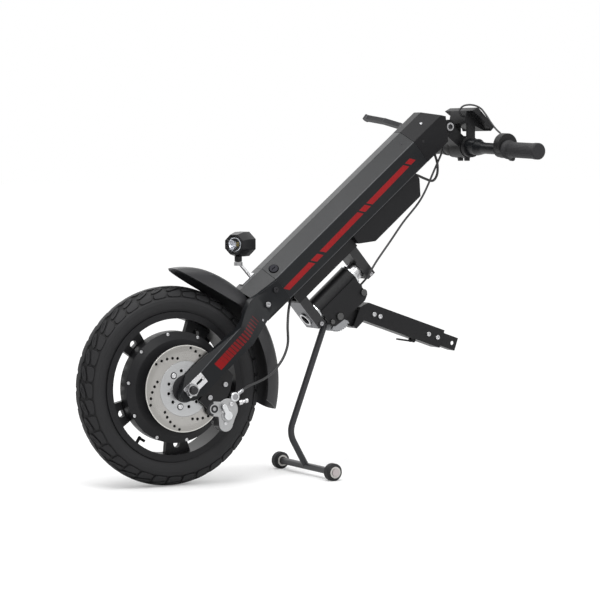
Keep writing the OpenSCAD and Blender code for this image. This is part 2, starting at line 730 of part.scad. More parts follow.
// Barrel that holds the end of the hose, level with the beam's slope
module hose_stop(r, past) rotate([0, 0, rake - caliper_deg]) translate([36 + past, -80, disc_seat + 8])
    rotate([0, 90, 0]) cylinder(r = r, h = 34 + past);
egg_r = 21;
tip_r = 14.5;
tip_deg = -65;
bush_r = 14;
egg_at = [caliper_over - 27, 10];
tip_at = egg_at + polar(caliper_len - egg_r - tip_r, tip_deg);
bush_at = [-18.7, -3];
module caliper_shape(grow = 0) {
    across = polar(1, tip_deg + 90);
    translate(egg_at) circle(egg_r + grow);
    translate(tip_at) circle(tip_r + grow);
    polygon([egg_at + across * (egg_r + grow), egg_at - across * (egg_r + grow),
        tip_at - across * (tip_r + grow), tip_at + across * (tip_r + grow)]);
    capsule(bush_at, egg_at, bush_r + grow);
}
module pad_place() translate([disc_r - 11, 0, 0]) children();
pad_t = 4;
pad_r = 9.5;
disc_0 = disc_seat + carrier_t - disc_t;
module inner_pad() color("#5b4a3a") on_caliper() pad_place() 
    translate([0, 0, disc_0 - pad_gap - pad_t]) cylinder(r = pad_r, h = pad_t);
module outer_pad() color("#5b4a3a") on_caliper() pad_place() 
    translate([0, 0, disc_0 + disc_t + pad_gap]) cylinder(r = pad_r, h = pad_t);
arm_y = disc_seat + 18.5;
module caliper_arm() color("#aeb1b6") on_caliper() translate([arm_pivot, 0, 0]) {
    translate([0, 0, arm_y]) linear_extrude(4) union() {
        circle(8);
        capsule([0, 0], polar(19, 148), 4.5);
    }
    translate([0, 0, disc_seat + 13]) cylinder(r = 5, h = arm_y - disc_seat - 13 + eps);
}

// Lamp
module lamp_bracket() color("#d8dade") {
    on_beam() translate([guard_r, 0, beam_top]) {
        box([12, -7, 0], [44, 7, 2.5]);
        translate([36, 0, 2]) cylinder(r = rod_r, h = 10);
        translate([36, 0, 12]) sphere(r = rod_r + slack);
        translate([36, 0, 12]) rotate([0, atan2(lamp_along - 36, lamp_lift - 18), 0])
            cylinder(r = rod_r, h = norm([lamp_along - 36, lamp_lift - 18]));
    }
    on_lamp() translate([0, 0, -7]) difference() {
        cylinder(r = 8, h = 7);
        translate([0, 0, 3]) cylinder(r = 4 + run, h = 5);
    }
}
lamp_h = 10 + lamp_af / 2;
lamp_rim = 4.5;
module lamp_axis() translate([0, 0, lamp_h]) rotate([0, -90, 0]) children();
module lamp_housing() color("#18191b") on_lamp() difference() {
    union() {
        lamp_axis() translate([0, 0, -lamp_len * 0.6]) rotate([0, 0, 22.5])
            cylinder(r = lamp_af / 2 / cos(22.5), h = lamp_len / 2, $fn = 8);
        lamp_axis() translate([0, 0, -lamp_len * 0.1 - eps]) rotate([0, 0, 22.5])
            cylinder(r1 = lamp_af / 2 / cos(22.5), r2 = (lens_r + lamp_rim) / cos(22.5),
                h = lamp_len / 2 + eps, $fn = 8);
        translate([0, 0, slack]) cylinder(r = 7, h = lamp_h - lamp_af / 2);
        translate([0, 0, -4]) cylinder(r = 4, h = 10);
    }
    lamp_axis() translate([0, 0, -lamp_len * 0.6 + 6]) cylinder(r1 = 6, r2 = lens_r,
        h = lamp_len - 6 + eps);
    lamp_axis() translate([0, 0, lamp_len * 0.4 - 4]) cylinder(r = lens_r + 2, h = 5);
}
module lamp_lens() color("#dfe8f0") on_lamp() lamp_axis() translate([0, 0, lamp_len * 0.4 - 4])
    cylinder(r = lens_r + 2 - fit, h = 3);

// Wheel
module tyre_section(r) translate([tyre_r - tyre_section_r, 0]) circle(r);
module tyre() color("#1b1b1c") on_axle() rotate_extrude($fn = 128) difference() {
    tyre_section(tyre_section_r);
    tyre_section(tyre_section_r - tyre_wall);
    translate([0, -100]) square([bead_r + fit, 200]);
}
// The valve reaches this share of the way from the rim to the motor
valve_share = 0.61;
module valve_stem() color("#141414") on_axle() rotate([0, 0, valve_deg]) {
    mid = window_r - (window_r - motor_r) * valve_share;
    hook_r = (window_r - motor_r) * 0.11;
    translate([mid - 1.3 * hook_r, 0, 0]) rotate([0, 90, 0])
        cylinder(r = valve_r, h = bead_r + 2 - mid + 1.3 * hook_r);
    translate([mid, 0, 0]) rotate([-70, 0, 0]) cylinder(r = hook_r, h = 4 * valve_r);
}
module wheel_rim() color("#2b2c30") on_axle() difference() {
    edge = flange_half + flange_t;
    union() {
        rotate_extrude($fn = 128) polygon([[window_r, -edge], [bead_r + flange_h, -edge],
            [bead_r + flange_h, -flange_half],
            [bead_r, -flange_half], [bead_r, flange_half], [bead_r + flange_h, flange_half],
                [bead_r + flange_h, edge],
            [window_r, edge]]);
        spokes();
        hub_form(0, 0);
    }
    hub_form(shell_t, 1);
    rotate([0, 0, valve_deg]) translate([window_r - 5, 0, 0]) rotate([0, 90, 0])
        cylinder(r = valve_r + fit, h = 40);
}
// Outside of the motor's shell, or its hollow when it is drawn inwards and past both ends
module hub_form(inset, past) rotate_extrude($fn = 128) polygon([[0, -hub_half - past],
    [back_r - inset, -hub_half - past], [back_r - inset, -hub_half], [motor_r - inset, shell_0],
    [motor_r - inset, hub_half + past], [0, hub_half + past]]);
module spokes() difference() {
    cylinder(r = window_r + 1, h = spoke_w, center = true);
    ring(spoke_pairs, spoke_start + 180 / spoke_pairs) window_cut();
    ring(spoke_pairs, spoke_start) spoke_hole();
}
module window_cut() linear_extrude(2 * spoke_w, center = true)
    polygon([for (r = [motor_r / 2, 2 * bead_r], side = [-1, 1])
    polar(r, (r > motor_r ? side : -side) * window_deg / 2)]);
module spoke_hole() intersection() {
    translate([motor_r + 6, 0, 0]) cylinder(r = spoke_hole_r, h = 2 * spoke_w, center = true);
    translate([motor_r + 2, -50, -spoke_w]) cube([100, 100, 2 * spoke_w]);
}
module cover_screw_places(r) ring(cover_screws, 65)
    translate([r - shell_t / 2 - 0.5, 0, hub_half + 3]) children();
module motor_cover(boss, r) difference() {
    cover_body(boss, r);
    cover_screw_places(r) cylinder(r = cover_screw_r + slack, h = cover_d);
}
module cover_body(boss, r) rotate_extrude($fn = 96)
    polygon([[r, hub_half], [r, hub_half + 4], [r - cover_bevel, cover_y - 2],
    [boss_r + 8, cover_y], [boss_r, cover_y + 1], [boss_r, cover_y + boss], [axle_r + 3, cover_y + boss],
    [axle_r + 3, cover_y + 3], [bearing_r + fit, cover_y + 3],
    [bearing_r + fit, cover_y + 3 - bearing_w], [bearing_r + 5, cover_y + 3 - bearing_w],
    [bearing_r + 5, cover_y - cover_wall], [r - cover_bevel, cover_y - cover_wall - 2],
    [r - shell_t, hub_half]]);
module motor_cover_left() color("#2a2b2f") on_axle() motor_cover(boss_len, motor_r);
module motor_cover_right() color("#2a2b2f") on_axle() mirror([0, 0, 1]) motor_cover(6, back_r);
module wheel_screws() color("#d0d2d6") on_axle() {
    cover_screw_places(motor_r) cylinder(r = cover_screw_r, h = 3);
    mirror([0, 0, 1]) cover_screw_places(back_r) cylinder(r = cover_screw_r, h = 3);
    ring(3, 133) translate([carrier_bolt_circle, 0, disc_seat + carrier_t]) cylinder(r = 4.6, h = 2);
}
module magnet_ring() color("#6d7078") on_axle() translate([0, 0, shell_mid]) difference() {
    cylinder(r = motor_r - shell_t - fit, h = stator_w, center = true);
    cylinder(r = motor_r - shell_t - magnet_t, h = stator_w + 1, center = true);
}
module wheel_bearings() color("#b5b8bd") on_axle() both_faces()
    translate([0, 0, cover_y + 3 - bearing_w]) difference() {
    cylinder(r = bearing_r, h = bearing_w);
    translate([0, 0, -1]) cylinder(r = axle_r + run, h = bearing_w + 2);
}
module brake_disc() color("#8f8d88") on_axle() translate([0, 0, disc_0]) difference() {
    cylinder(r = disc_r, h = disc_t, $fn = 96);
    translate([0, 0, -1]) cylinder(r = carrier_r + fit, h = disc_t + 2);
    ring(hole_groups, 45) for (i = [0:group_holes - 1]) rotate([0, 0, 36 * i / (group_holes - 1)])
        translate([carrier_r + 7 + (disc_r - carrier_r - 12) * i / (group_holes - 1), 0, -1])
            cylinder(r = disc_hole_r, h = disc_t + 2);
}
module disc_carrier() color("#c9cac9") on_axle() translate([0, 0, disc_seat]) difference() {
    union() {
        cylinder(r = carrier_r, h = carrier_t);
        cylinder(r = carrier_r + 4, h = carrier_t - disc_t);
    }
    translate([0, 0, -1]) cylinder(r = axle_r + 3, h = carrier_t + 2);
    ring(12, 133) translate([carrier_bolt_circle, 0, -1]) cylinder(r = 3, h = carrier_t + 2);
}

// Steering bracket and what is bolted to it
module cheek_outline() polygon([[head_0, 0], [head_0, -38], [head_0 + 6, 4 - cheek_d],
    [head_0 + 28, 1 - cheek_d], [tie_a - 7, -cheek_d - 2], [tie_a + 5, 4 - cheek_d], [head_1 - 2, -12],
    [head_1, 0]]);
cable_stop = [head_1 - 14, -16, -23];
module steering_bracket() color("#1e1f22") on_steerer() difference() {
    union() {
        pin_x(head_r, head_0, head_1);
        both_sides() slab_y(cheek_y, cheek_y + cheek_t) cheek_outline();
        translate(cable_stop) pin_x(4.6, 0, 16);
    }
    pin_x(steerer_r + 3, head_0 - 1, head_1 + 1);
    translate(cable_stop) pin_x(release_r + slack, 4, 20);
    pin_x(head_bearing_r + fit, head_0 - 1, head_0 + head_bearing_d);
    pin_x(head_bearing_r + fit, head_1 - head_bearing_d, head_1 + 1);
    translate([pivot_a, 0, -pivot_drop]) pin_y(pivot_r + fit, -50, 50);
    translate([stand_a, 0, -stand_drop]) pin_y(stand_pin_r + fit, -50, 50);
    translate([tie_a, 0, -pivot_drop]) pin_y(3 + fit, -50, 50);
}
module head_bearing() difference() {
    union() {
        pin_x(head_r + 1, 0, cup_t);
        pin_x(head_bearing_r, 0, cup_t + head_bearing_d - 1);
    }
    pin_x(steerer_r + run, -1, 40);
}
module head_bearings() color("#d6d8dc") on_steerer() {
    translate([cup_0, 0, 0]) head_bearing();
    translate([head_1 + cup_t, 0, 0]) mirror([1, 0, 0]) head_bearing();
}
module cross_bolt(r, head_r) {
    half = cheek_y + cheek_t;
    pin_y(r, -half - eps, half + eps);
    pin_y(head_r, -half - 4, -half);
    pin_y(head_r, half, half + 4);
}
module bracket_bolts() color("#9fa2a8") on_steerer() {
    translate([pivot_a, 0, -pivot_drop]) cross_bolt(pivot_r, 7);
    translate([stand_a, 0, -stand_drop]) cross_bolt(stand_pin_r, 4.5);
    translate([tie_a, 0, -pivot_drop]) {
        cross_bolt(3, 6.5);
        pin_y(6, -cheek_y, cheek_y);
    }
}

// Arm
hub_r = 11;
index_y = 10;
latch_along = 128;
latch_len = 34;
latch_tilt = 10;
module arm_sleeve() color("#1f2023") on_arm() difference() {
    union() {
        box([sleeve_start, -sleeve_w / 2, arm_rise - sleeve_h / 2],
            [sleeve_end, sleeve_w / 2, arm_rise + sleeve_h / 2]);
        slab_y(-sleeve_w / 2, sleeve_w / 2)
            polygon([[sleeve_start - 18, -8], [sleeve_start - 10, -10], [sleeve_start + eps, 8],
            [sleeve_start + eps, arm_rise + sleeve_h / 2],
            [sleeve_start - 8, arm_rise + sleeve_h / 2 - 6], [sleeve_start - 16, arm_rise + 4]]);
        pin_y(hub_r, slack - cheek_y, cheek_y - slack);
        slab_y(-9, 9) polygon([[0, -hub_r + 1], [sleeve_start - 14, -9], [sleeve_start - 14, 26],
            [5, hub_r - 2]]);
        both_sides() slab_y(4, 8) translate([sleeve_start + latch_along, arm_rise - sleeve_h / 2 - 3])
            latch_ear();
    }
    bore = tube_side / 2 + fit;
    box([tube_end - tube_len - tube_in - 5, -bore, arm_rise - bore],
        [sleeve_end + 1, bore, arm_rise + bore]);
    pin_y(pivot_r + run, -50, 50);
    translate([sleeve_start + latch_along, 0, arm_rise - sleeve_h / 2 - 3]) pin_y(1.5 + run, -20, 20);
}
module latch_ear() union() {
    circle(3.5);
    translate([-3.5, 0]) square([7, 3.2]);
}
module index_plate() slab_y(index_y, index_y + index_t) difference() {
    intersection() {
        union() {
            circle(index_r - 2.5);
            ring(36) translate([index_r - 4, -1.3]) square([4, 2.6]);
        }
        polygon([[0, 0], polar(60, -96), polar(60, -50), polar(60, -14), polar(30, -4)]);
    }
    circle(hub_r + fit);
}
module index_plates() color("#b4b6ba") on_arm() both_sides() difference() {
    index_plate();
    slab_y(0, 40) translate([sleeve_start - 18.2, -60]) square([60, 120]);
}
module arm_bolts() color("#c6c8cc") on_arm()
    for (x = [sleeve_start + 18, sleeve_start + 32, sleeve_end - 34, sleeve_end - 12]) both_sides()
    translate([x, sleeve_w / 2, arm_rise]) rotate([-90, 0, 0]) cylinder(r = 4.5, h = 3);
module arm_tube() color("#232428") on_arm() difference() {
    half = tube_side / 2;
    box([tube_end - tube_len, -half, arm_rise - half], [tube_end, half, arm_rise + half]);
    box([tube_end - tube_len - 1, tube_wall - half, arm_rise - half + tube_wall],
        [tube_end + 1, half - tube_wall, arm_rise + half - tube_wall]);
    translate([tube_end - dock_in, 0, arm_rise]) pin_y(dock_r, -half - 1, half + 1);
}
module arm_latch() color("#2c2d31") on_arm()
    translate([sleeve_start + latch_along, 0, arm_rise - sleeve_h / 2 - 3]) {
    pin_y(1.5, -8, 8);
    slab_y(-3.5, 3.5) union() {
        circle(3);
        rotate(latch_tilt) translate([-latch_len, -3]) square([latch_len, 3.5]);
    }
}

// Stand
module stand_leg() color("#242528") on_stand() {
    bend = [-bend_ahead, bend_h - stand_z];
    foot = [-foot_ahead, roller_r - stand_z];
    a1 = atan2(bend[1], bend[0]);
    a2 = atan2(foot[1] - bend[1], foot[0] - bend[0]);
    back = bend_r * tan((a2 - a1) / 2);
    p1 = bend - polar(back, a1);
    p2 = bend + polar(back, a2);
    mid = p1 + polar(bend_r, a1 + 90);
    difference() {
        union() {
            run_to(polar(2, a1), p1);
            translate([mid[0], 0, mid[1]]) rotate([90, 0, 0]) rotate([0, 0, a1 - 90])
                rotate_extrude(angle = a2 - a1) translate([bend_r, 0]) circle(stand_r);
            run_to(p2, foot);
            pin_y(stand_r + 0.6, -7, 7);
        }
        pin_y(stand_pin_r + run, -20, 20);
    }
    translate([foot[0], 0, foot[1]]) both_sides() {
        pin_y(roller_axle_r + 1.5, -eps, roller_span / 2 - roller_w / 2 - slack);
        pin_y(roller_axle_r, 0, roller_span / 2 + roller_w / 2 + 1);
        pin_y(roller_axle_r + 2.5, roller_span / 2 + roller_w / 2 + slack,
            roller_span / 2 + roller_w / 2 + 3);
    }
}
module run_to(p, q) translate([p[0], 0, p[1]]) rotate([0, 90 - atan2(q[1] - p[1], q[0] - p[0]), 0])
    cylinder(r = stand_r, h = norm(q - p));
module roller(side) on_stand() translate([-foot_ahead, side * roller_span / 2, roller_r - stand_z])
    rotate([90, 0, 0]) rotate_extrude()
    polygon([[roller_axle_r + run, -roller_w / 2], [roller_r - 5, -roller_w / 2],
    [roller_r, 4 - roller_w / 2], [roller_r, roller_w / 2 - 4], [roller_r - 5, roller_w / 2],
    [roller_axle_r + run, roller_w / 2]]);
module roller_left() color("#3a3a3c") roller(-1);
module roller_right() color("#3a3a3c") roller(1);

// Handlebar
stem_len = norm([bar_back, bar_down]);
stem_deg = atan2(bar_down, bar_back);
clamp_half = 20;
module stem() color("#212226") difference() {
    union() {
        on_stem() pin_y(knuckle_r, -knuckle_w / 2, knuckle_w / 2);
        on_stem() rotate([0, stem_deg, 0]) box([0, -15, -12], [stem_len, 15, 12]);
        on_bar() pin_y(bar_mid_r + 6, -clamp_half, clamp_half);
        on_bar() both_sides() slab_y(8, 15) polygon([[-8, 0], [-2, -bar_mid_r - 12], [6, -bar_mid_r - 12],
            [8, 0]]);
    }
    on_stem() pin_y(stem_bolt_r + run, -60, 60);
    on_bar() pin_y(bar_mid_r + fit, -60, 60);
}
taper = 24;
taper_end = bar_mid_len / 2 - 2 + taper;
module handlebar() color("#1a1b1d") {
    on_bar() pin_y(bar_mid_r, -bar_mid_len / 2, bar_mid_len / 2);
    for (side = [-1, 1]) bar_side(side) rotate([-side * 90, 0, 0]) {
        translate([0, 0, bar_mid_len / 2 - 2]) cylinder(r1 = bar_mid_r - 0.3, r2 = bar_r, h = taper);
        translate([0, 0, bar_mid_len / 2]) cylinder(r = bar_r, h = grip_end - bar_mid_len / 2 - 4);
    }
}
module grip(side) bar_side(side) rotate([-side * 90, 0, 0]) difference() {
    rotate_extrude() polygon([[0, grip_start], [grip_flange_r, grip_start],
        [grip_flange_r, grip_start + 3], [grip_r, grip_start + 9], [grip_r, grip_end - 14],
        [grip_r + 0.8, grip_end - 12], [grip_r + 0.8, grip_end - 2], [grip_r - 1, grip_end],
        [0, grip_end]]);
    cylinder(r = bar_r + fit, h = grip_end - 3.5);
}
module grip_left() color("#252527") grip(-1);
module grip_right() color("#252527") grip(1);
throttle_in = grip_start - 1 - throttle_w;
paddle_w = 9;
module throttle_housing() color("#1b1c1e") bar_side(-1) difference() {
    union() {
        translate([0, 0, 9]) pin_y(throttle_r, -throttle_in - throttle_w, -throttle_in);
        pin_y(bar_r + 6, -throttle_in - throttle_w, -throttle_in);
    }
    pin_y(bar_r + fit, -throttle_in - throttle_w - 1, 1 - throttle_in);
}
module throttle_paddle() color("#2b2c2f") bar_side(-1) difference() {
    slab_y(-throttle_in + slack, -throttle_in + slack + paddle_w) union() {
        circle(bar_r + 5);
        capsule([10, -8], [26, -18], 5);
    }
    pin_y(bar_r + 2 * run, -throttle_in - 5, -throttle_in + 40);
}
// The perch keeps its share of the thin run between the taper and the grip
perch_w = 24;
perch_share = 0.595;
lever_y = taper_end + (grip_start - taper_end) * perch_share;
perch_y = lever_y - perch_w / 2;
module lever_perch() color("#1c1d1f") on_lever() difference() {
    union() {
        pin_y(bar_r + 7, perch_y, perch_y + perch_w);
        box([0, perch_y, -lever_t / 2 - 4], [lever_reach + 8, perch_y + perch_w, lever_t / 2 + 4]);
    }
    rotate([0, lever_deg, 0]) rotate([-bar_droop, 0, 0]) pin_y(bar_r + fit, perch_y - 20,
        perch_y + perch_w + 20);
    box([bar_r + 9, perch_y - 1, -lever_t / 2 - slack],
        [lever_reach + 9, perch_y + perch_w + 1, lever_t / 2 + slack]);
    translate([lever_reach, lever_y, -20]) cylinder(r = 3 + run, h = 40);
}
module brake_lever() color("#17181a") on_lever() {
    translate([0, 0, -lever_t / 2]) linear_extrude(lever_t) union() {
        translate([lever_reach, lever_y]) circle(7);
        capsule([lever_reach, lever_y], [lever_tip_reach - 28, lever_y + 26], 6);
        capsule([lever_tip_reach - 28, lever_y + 26], [lever_tip_reach - 12, lever_y + 66], 5.5);
        capsule([lever_tip_reach - 12, lever_y + 66], [lever_tip_reach, grip_end - 12], 5);
        translate([lever_tip_reach, grip_end - 12]) circle(7);
    }
    translate([lever_reach, lever_y, -lever_t / 2 - 4]) cylinder(r = 3, h = lever_t + 8);
}
// Display: the screen leans back, and the housing tapers to its foot on the bar
module display_side() polygon([[2, display_lift], [display_back, screen_low],
    [display_back - display_t * cos(screen_tilt), screen_low - display_t * sin(screen_tilt)],
    [12, display_lift - 37], [-12, display_lift - 31], [-14, display_lift - 22], [-10, display_lift - 6]]);
module on_screen() on_bar() translate([2, 0, display_lift]) rotate([0, 90 - screen_tilt, 0]) children();
module display_housing() color("#1e1f21") difference() {
    on_bar() union() {
        slab_y(-display_w / 2, display_w / 2) display_side();
        both_sides() difference() {
            union() {
                pin_y(bar_mid_r + 5, clamp_half + 2, clamp_half + 12);
                box([-8, clamp_half + 2, 0], [10, clamp_half + 12, display_lift - 28]);
            }
            pin_y(bar_mid_r + fit, 0, 100);
        }
    }
    on_bar() both_sides() slab_y(display_w / 2 - 22, display_w) polygon([[-40, 90], [-40, 0], [40, 0],
        [30, 36], [4, 60]]);
    on_screen() box([4, -display_w / 2 + 5, -2.5], [screen_h - 4, display_w / 2 - 5, 5]);
}
module display_screen() color("#0b1420") on_screen() box([4 + fit, -display_w / 2 + 5 + fit, -2.5],
    [screen_h - 4 - fit, display_w / 2 - 5 - fit, -0.5]);

// Cables, with their routes in the frame of what carries them: along, right, out
hose_route = [[304, -10, -46], [290, -16, -44], [268, -30, -50], [243, -42, -66], [222, -48, -87],
    [204, -52, -97], [185, -54, -103], [160, -57, -105], [138, -61, -101], [114, -67, -91],
    [95, -70, -83], [76, -71, -80], [60, -71, -80]];
release_route = [[735, -18, -33.3], [735, -18, -38], [730, -20, -45], [690, -24, -60], [628, -28, -82],
    [569, -28, -90], [523, -28, -99], [475, -30, -107], [450, -31, -113], [438, -28, -118],
    [430, -20, -122.5], [424, -16.2, -124.4], [418, -16, -124.5], [412, -16, -124.5]];
harness_route = [[647.2, -4, -41], [650, -4, -41], [654, -4.5, -42.5], [661, -6, -51], [669, -8, -66],
    [679, -10, -80], [694, -11, -77],
    [707, -12, -62], [714, -12, -45], [714, -12, -38], [714, -12, -33.15]];
display_route = [[-13.05, -20, 60], [-18, -20, 62], [-23, -21, 70], [-16, -25, 80], [-2, -34, 82],
    [9, -46, 76], [15, -57, 63], [16, -74, 47], [13, -96, 34], [8, -118, 26], [3, -136.2, 19.5]];
module brake_hose() color("#101011") on_beam() sweep(smooth(hose_route, 4), hose_r, 8);
module release_cable() color("#101011") on_beam() sweep(smooth(release_route, 4), release_r, 8);
module harness_cable() color("#101011") on_beam() sweep(smooth(harness_route, 3), harness_r, 8);
module display_cable() color("#101011") on_bar() sweep(smooth(display_route, 4), display_cable_r, 8);

beam_shell();
beam_upper_cap();
fork_crown();
battery_pack();
key_switch();
mount_rail();
controller_case();
head_clamps();
steerer();
frame_bolts();
fork_leg_left();
fork_leg_right();
axle();
axle_nuts();
torque_plates();
motor_stator();
mudguard();
caliper_bracket();
caliper_body();
caliper_arm();
inner_pad();
outer_pad();
brake_hose();
lamp_bracket();
lamp_housing();
lamp_lens();
tyre();
valve_stem();
wheel_rim();
motor_cover_left();
motor_cover_right();
wheel_screws();
magnet_ring();
wheel_bearings();
brake_disc();
disc_carrier();
steering_bracket();
head_bearings();
bracket_bolts();
release_cable();
arm_sleeve();
index_plates();
arm_bolts();
arm_tube();
arm_latch();
stand_leg();
roller_left();
roller_right();
stem();
handlebar();
grip_left();
grip_right();
throttle_housing();
throttle_paddle();
lever_perch();
brake_lever();
display_housing();
display_screen();
display_cable();
harness_cable();
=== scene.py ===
# %% [markdown]
# An electric drive unit that docks to the front of a wheelchair. The packed model gives every solid its place,
# and this lesson dresses it: first the camera and the light, then the cords, then the finishes, and last the
# pieces that need more than a solid, such as the tread of the tyre. All lengths in the lists below are millimetres
# along the beam, to the rider's right and out of the beam's top, because that is how the unit was measured.

# %% Load the frame
import math

import bmesh
import bpy
import numpy as np
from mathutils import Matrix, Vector


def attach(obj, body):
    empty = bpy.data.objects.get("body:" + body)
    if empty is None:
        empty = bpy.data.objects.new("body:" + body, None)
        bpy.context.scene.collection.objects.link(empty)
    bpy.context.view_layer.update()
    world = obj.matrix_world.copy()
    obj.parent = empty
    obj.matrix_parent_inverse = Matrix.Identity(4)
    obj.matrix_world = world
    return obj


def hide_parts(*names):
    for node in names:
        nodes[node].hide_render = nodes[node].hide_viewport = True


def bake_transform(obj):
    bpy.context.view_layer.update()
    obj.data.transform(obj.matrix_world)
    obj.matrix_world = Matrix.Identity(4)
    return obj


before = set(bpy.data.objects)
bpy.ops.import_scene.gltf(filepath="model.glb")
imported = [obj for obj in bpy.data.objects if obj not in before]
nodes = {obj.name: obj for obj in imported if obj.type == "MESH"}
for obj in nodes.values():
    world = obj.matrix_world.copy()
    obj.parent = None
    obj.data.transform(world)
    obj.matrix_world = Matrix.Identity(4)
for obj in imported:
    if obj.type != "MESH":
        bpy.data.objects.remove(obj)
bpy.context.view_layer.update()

# %% [markdown]
# Four places carry almost everything: the wheel's axle, the sloping beam, the handlebar and the brake caliper. A
# short function for each turns measured millimetres into a point of the model, so that a number in a list can be
# checked with a ruler.

# %% Places on the unit
MM = 0.001
AXLE = Vector((-0.252503, 0, 0.185))
RAKE = math.radians(40)
ALONG = Vector((math.cos(RAKE), 0, math.sin(RAKE)))
OUT = Vector((-math.sin(RAKE), 0, math.cos(RAKE)))
RIGHT = Vector((0, 1, 0))
LEFT = -RIGHT
CALIPER_TURN = math.radians(-33)


def on_beam(a, y, b):
    return AXLE + MM * (a * ALONG + y * RIGHT + b * OUT)


BAR = on_beam(767, 0, -16.5) + MM * Vector((51, 0, -39))


def on_bar(x, y, z):
    return BAR + MM * Vector((x, y, z))


def round_axle(r, deg, y=0):
    return AXLE + MM * Vector((r * math.cos(math.radians(deg)), y, r * math.sin(math.radians(deg))))


def on_caliper(along, across, out):
    cos, sin = math.cos(CALIPER_TURN), math.sin(CALIPER_TURN)
    return AXLE + MM * Vector((along * cos - across * sin, -out, along * sin + across * cos))


print("handlebar at", tuple(round(c, 4) for c in BAR))

# %% [markdown]
# The photograph was taken with a long lens from a little above the axle, on the rider's left. A camera with the
# same distance and lens gives the same perspective, so shapes can be compared point by point.

# %% Camera


def add_object(name, data):
    """Puts a new object into the scene."""
    made = bpy.data.objects.new(name, data)
    bpy.context.scene.collection.objects.link(made)
    return made


def look_at(made, point):
    made.rotation_euler = (point - made.location).to_track_quat("-Z", "Y").to_euler()


lens = bpy.data.cameras.new("studio_lens")
lens.lens = 141.86
lens.sensor_width = 36
lens.clip_end = 100
camera = add_object("studio_camera", lens)
camera.location = (-2.1935, -3.9043, 0.6132)
aim = Vector((0.026666, 0, 0.335064))
look_at(camera, aim)
bpy.context.scene.camera = camera
bpy.context.scene.view_settings.view_transform = "Standard"
print("camera", round((aim - camera.location).length, 3), "m from its aim")

# %% [markdown]
# Shader maths reads best as plain formulas. A small class wraps one socket of a node tree, and its operators add
# the Math nodes. Each operator is the same method with another operation, so a table makes them all.

# %% Formulas of shader nodes


class Wire:
    """An output socket that can be used in a formula."""

    def __init__(self, finish, socket):
        self.finish = finish
        self.socket = socket

    def between(self, low, high):
        return (self > low) * (self < high)

    def fade(self, low, high):
        """0 at low, 1 at high, smooth between."""
        return self.finish.node("ShaderNodeMapRange", {"interpolation_type": "SMOOTHSTEP"},
                                {"Value": self, "From Min": low, "From Max": high}, "Result")


def formula(operation, swapped=False):
    """A method that adds one Math node, with the other value first where the two are swapped."""
    def method(self, *others):
        values = (*others, self) if swapped else (self, *others)
        return self.finish.node("ShaderNodeMath", {"operation": operation}, values)
    return method


FORMULAS = {"__add__": "ADD", "__sub__": "SUBTRACT", "__mul__": "MULTIPLY", "__truediv__": "DIVIDE",
            "__gt__": "GREATER_THAN", "__lt__": "LESS_THAN", "__abs__": "ABSOLUTE", "most": "MAXIMUM",
            "sine": "SINE", "root": "SQRT", "fraction": "FRACT", "angle": "ARCTAN2"}
for name, operation in FORMULAS.items():
    setattr(Wire, name, formula(operation))
Wire.__rsub__ = formula("SUBTRACT", swapped=True)
print("formulas", ", ".join(FORMULAS.values()))

# %% [markdown]
# A second class holds one finish: a material with one Principled shader. Its node method adds any other node with its
# settings, and the rest are short names for what every finish needs, such as noise, a mix of two colours and a bump.

# %% A finish


def set_all(made, settings):
    for key, value in settings.items():
        setattr(made, key, value)
    return made


class Finish:
    """One material round one Principled shader."""

    def __init__(self, name, color, rough, metal=0.0, **sockets):
        self.material = bpy.data.materials.new(name)
        self.material.use_nodes = True
        self.tree = self.material.node_tree
        self.shader = self.tree.nodes["Principled BSDF"]
        self.set("Base Color", (*color, 1))
        self.set("Roughness", rough)
        self.set("Metallic", metal)
        for key, value in sockets.items():
            self.set(key.replace("_", " "), value)

    def plug(self, socket, value):
        if isinstance(value, Wire):
            self.tree.links.new(value.socket, socket)
        else:
            socket.default_value = value

    def set(self, name, value):
        self.plug(self.shader.inputs[name], value)

    def node(self, kind, settings=None, values=(), out=0):
        """Adds a node: settings first, then its sockets by number or by name."""
        made = set_all(self.tree.nodes.new(kind), settings or {})
        pairs = values.items() if isinstance(values, dict) else enumerate(values)
        for key, value in pairs:
            self.plug(made.inputs[key], value)
        return Wire(self, made.outputs[out])

    def position(self):
        return self.node("ShaderNodeTexCoord", out="Object")

    def xyz(self, vector):
        return [self.node("ShaderNodeSeparateXYZ", None, [vector], i) for i in range(3)]

    def noise(self, scale, detail=2.0, rough=0.5, vector=None):
        return self.node("ShaderNodeTexNoise", None, {"Vector": vector or self.position(), "Scale": scale,
                                                      "Detail": detail, "Roughness": rough}, "Fac")

    def mix(self, mask, first, second):
        """first where the mask is 0, second where it is 1."""
        return self.node("ShaderNodeMix", {"data_type": "RGBA"}, {0: mask, 6: first, 7: second}, 2)

    def now(self, name):
        """What feeds a socket of the shader, a formula or a plain value."""
        socket = self.shader.inputs[name]
        if socket.is_linked:
            return Wire(self, socket.links[0].from_socket)
        value = socket.default_value
        return value if isinstance(value, float) else tuple(value)

    def over(self, mask, color):
        """Puts a colour over the present one where the mask is 1."""
        self.set("Base Color", self.mix(mask, self.now("Base Color"), color))

    def bump(self, height, strength, distance):
        self.set("Normal", self.node("ShaderNodeBump", None,
                                     {"Height": height, "Strength": strength, "Distance": distance}, "Normal"))


def rgba(r, g, b):
    return (r, g, b, 1)


print("a finish can", ", ".join(name for name in vars(Finish) if name[0] != "_"))

# %% [markdown]
# The unit stands on white paper. The paper glows a little for the camera, more where it is far from the lamps, so it
# stays white. The rest of its brightness comes from the lamps, so the unit's shadow shows on it. A floor that only
# catches shadows would need a second picture laid over a white one, and a glow that only the camera sees does it in
# one.

# %% Floor


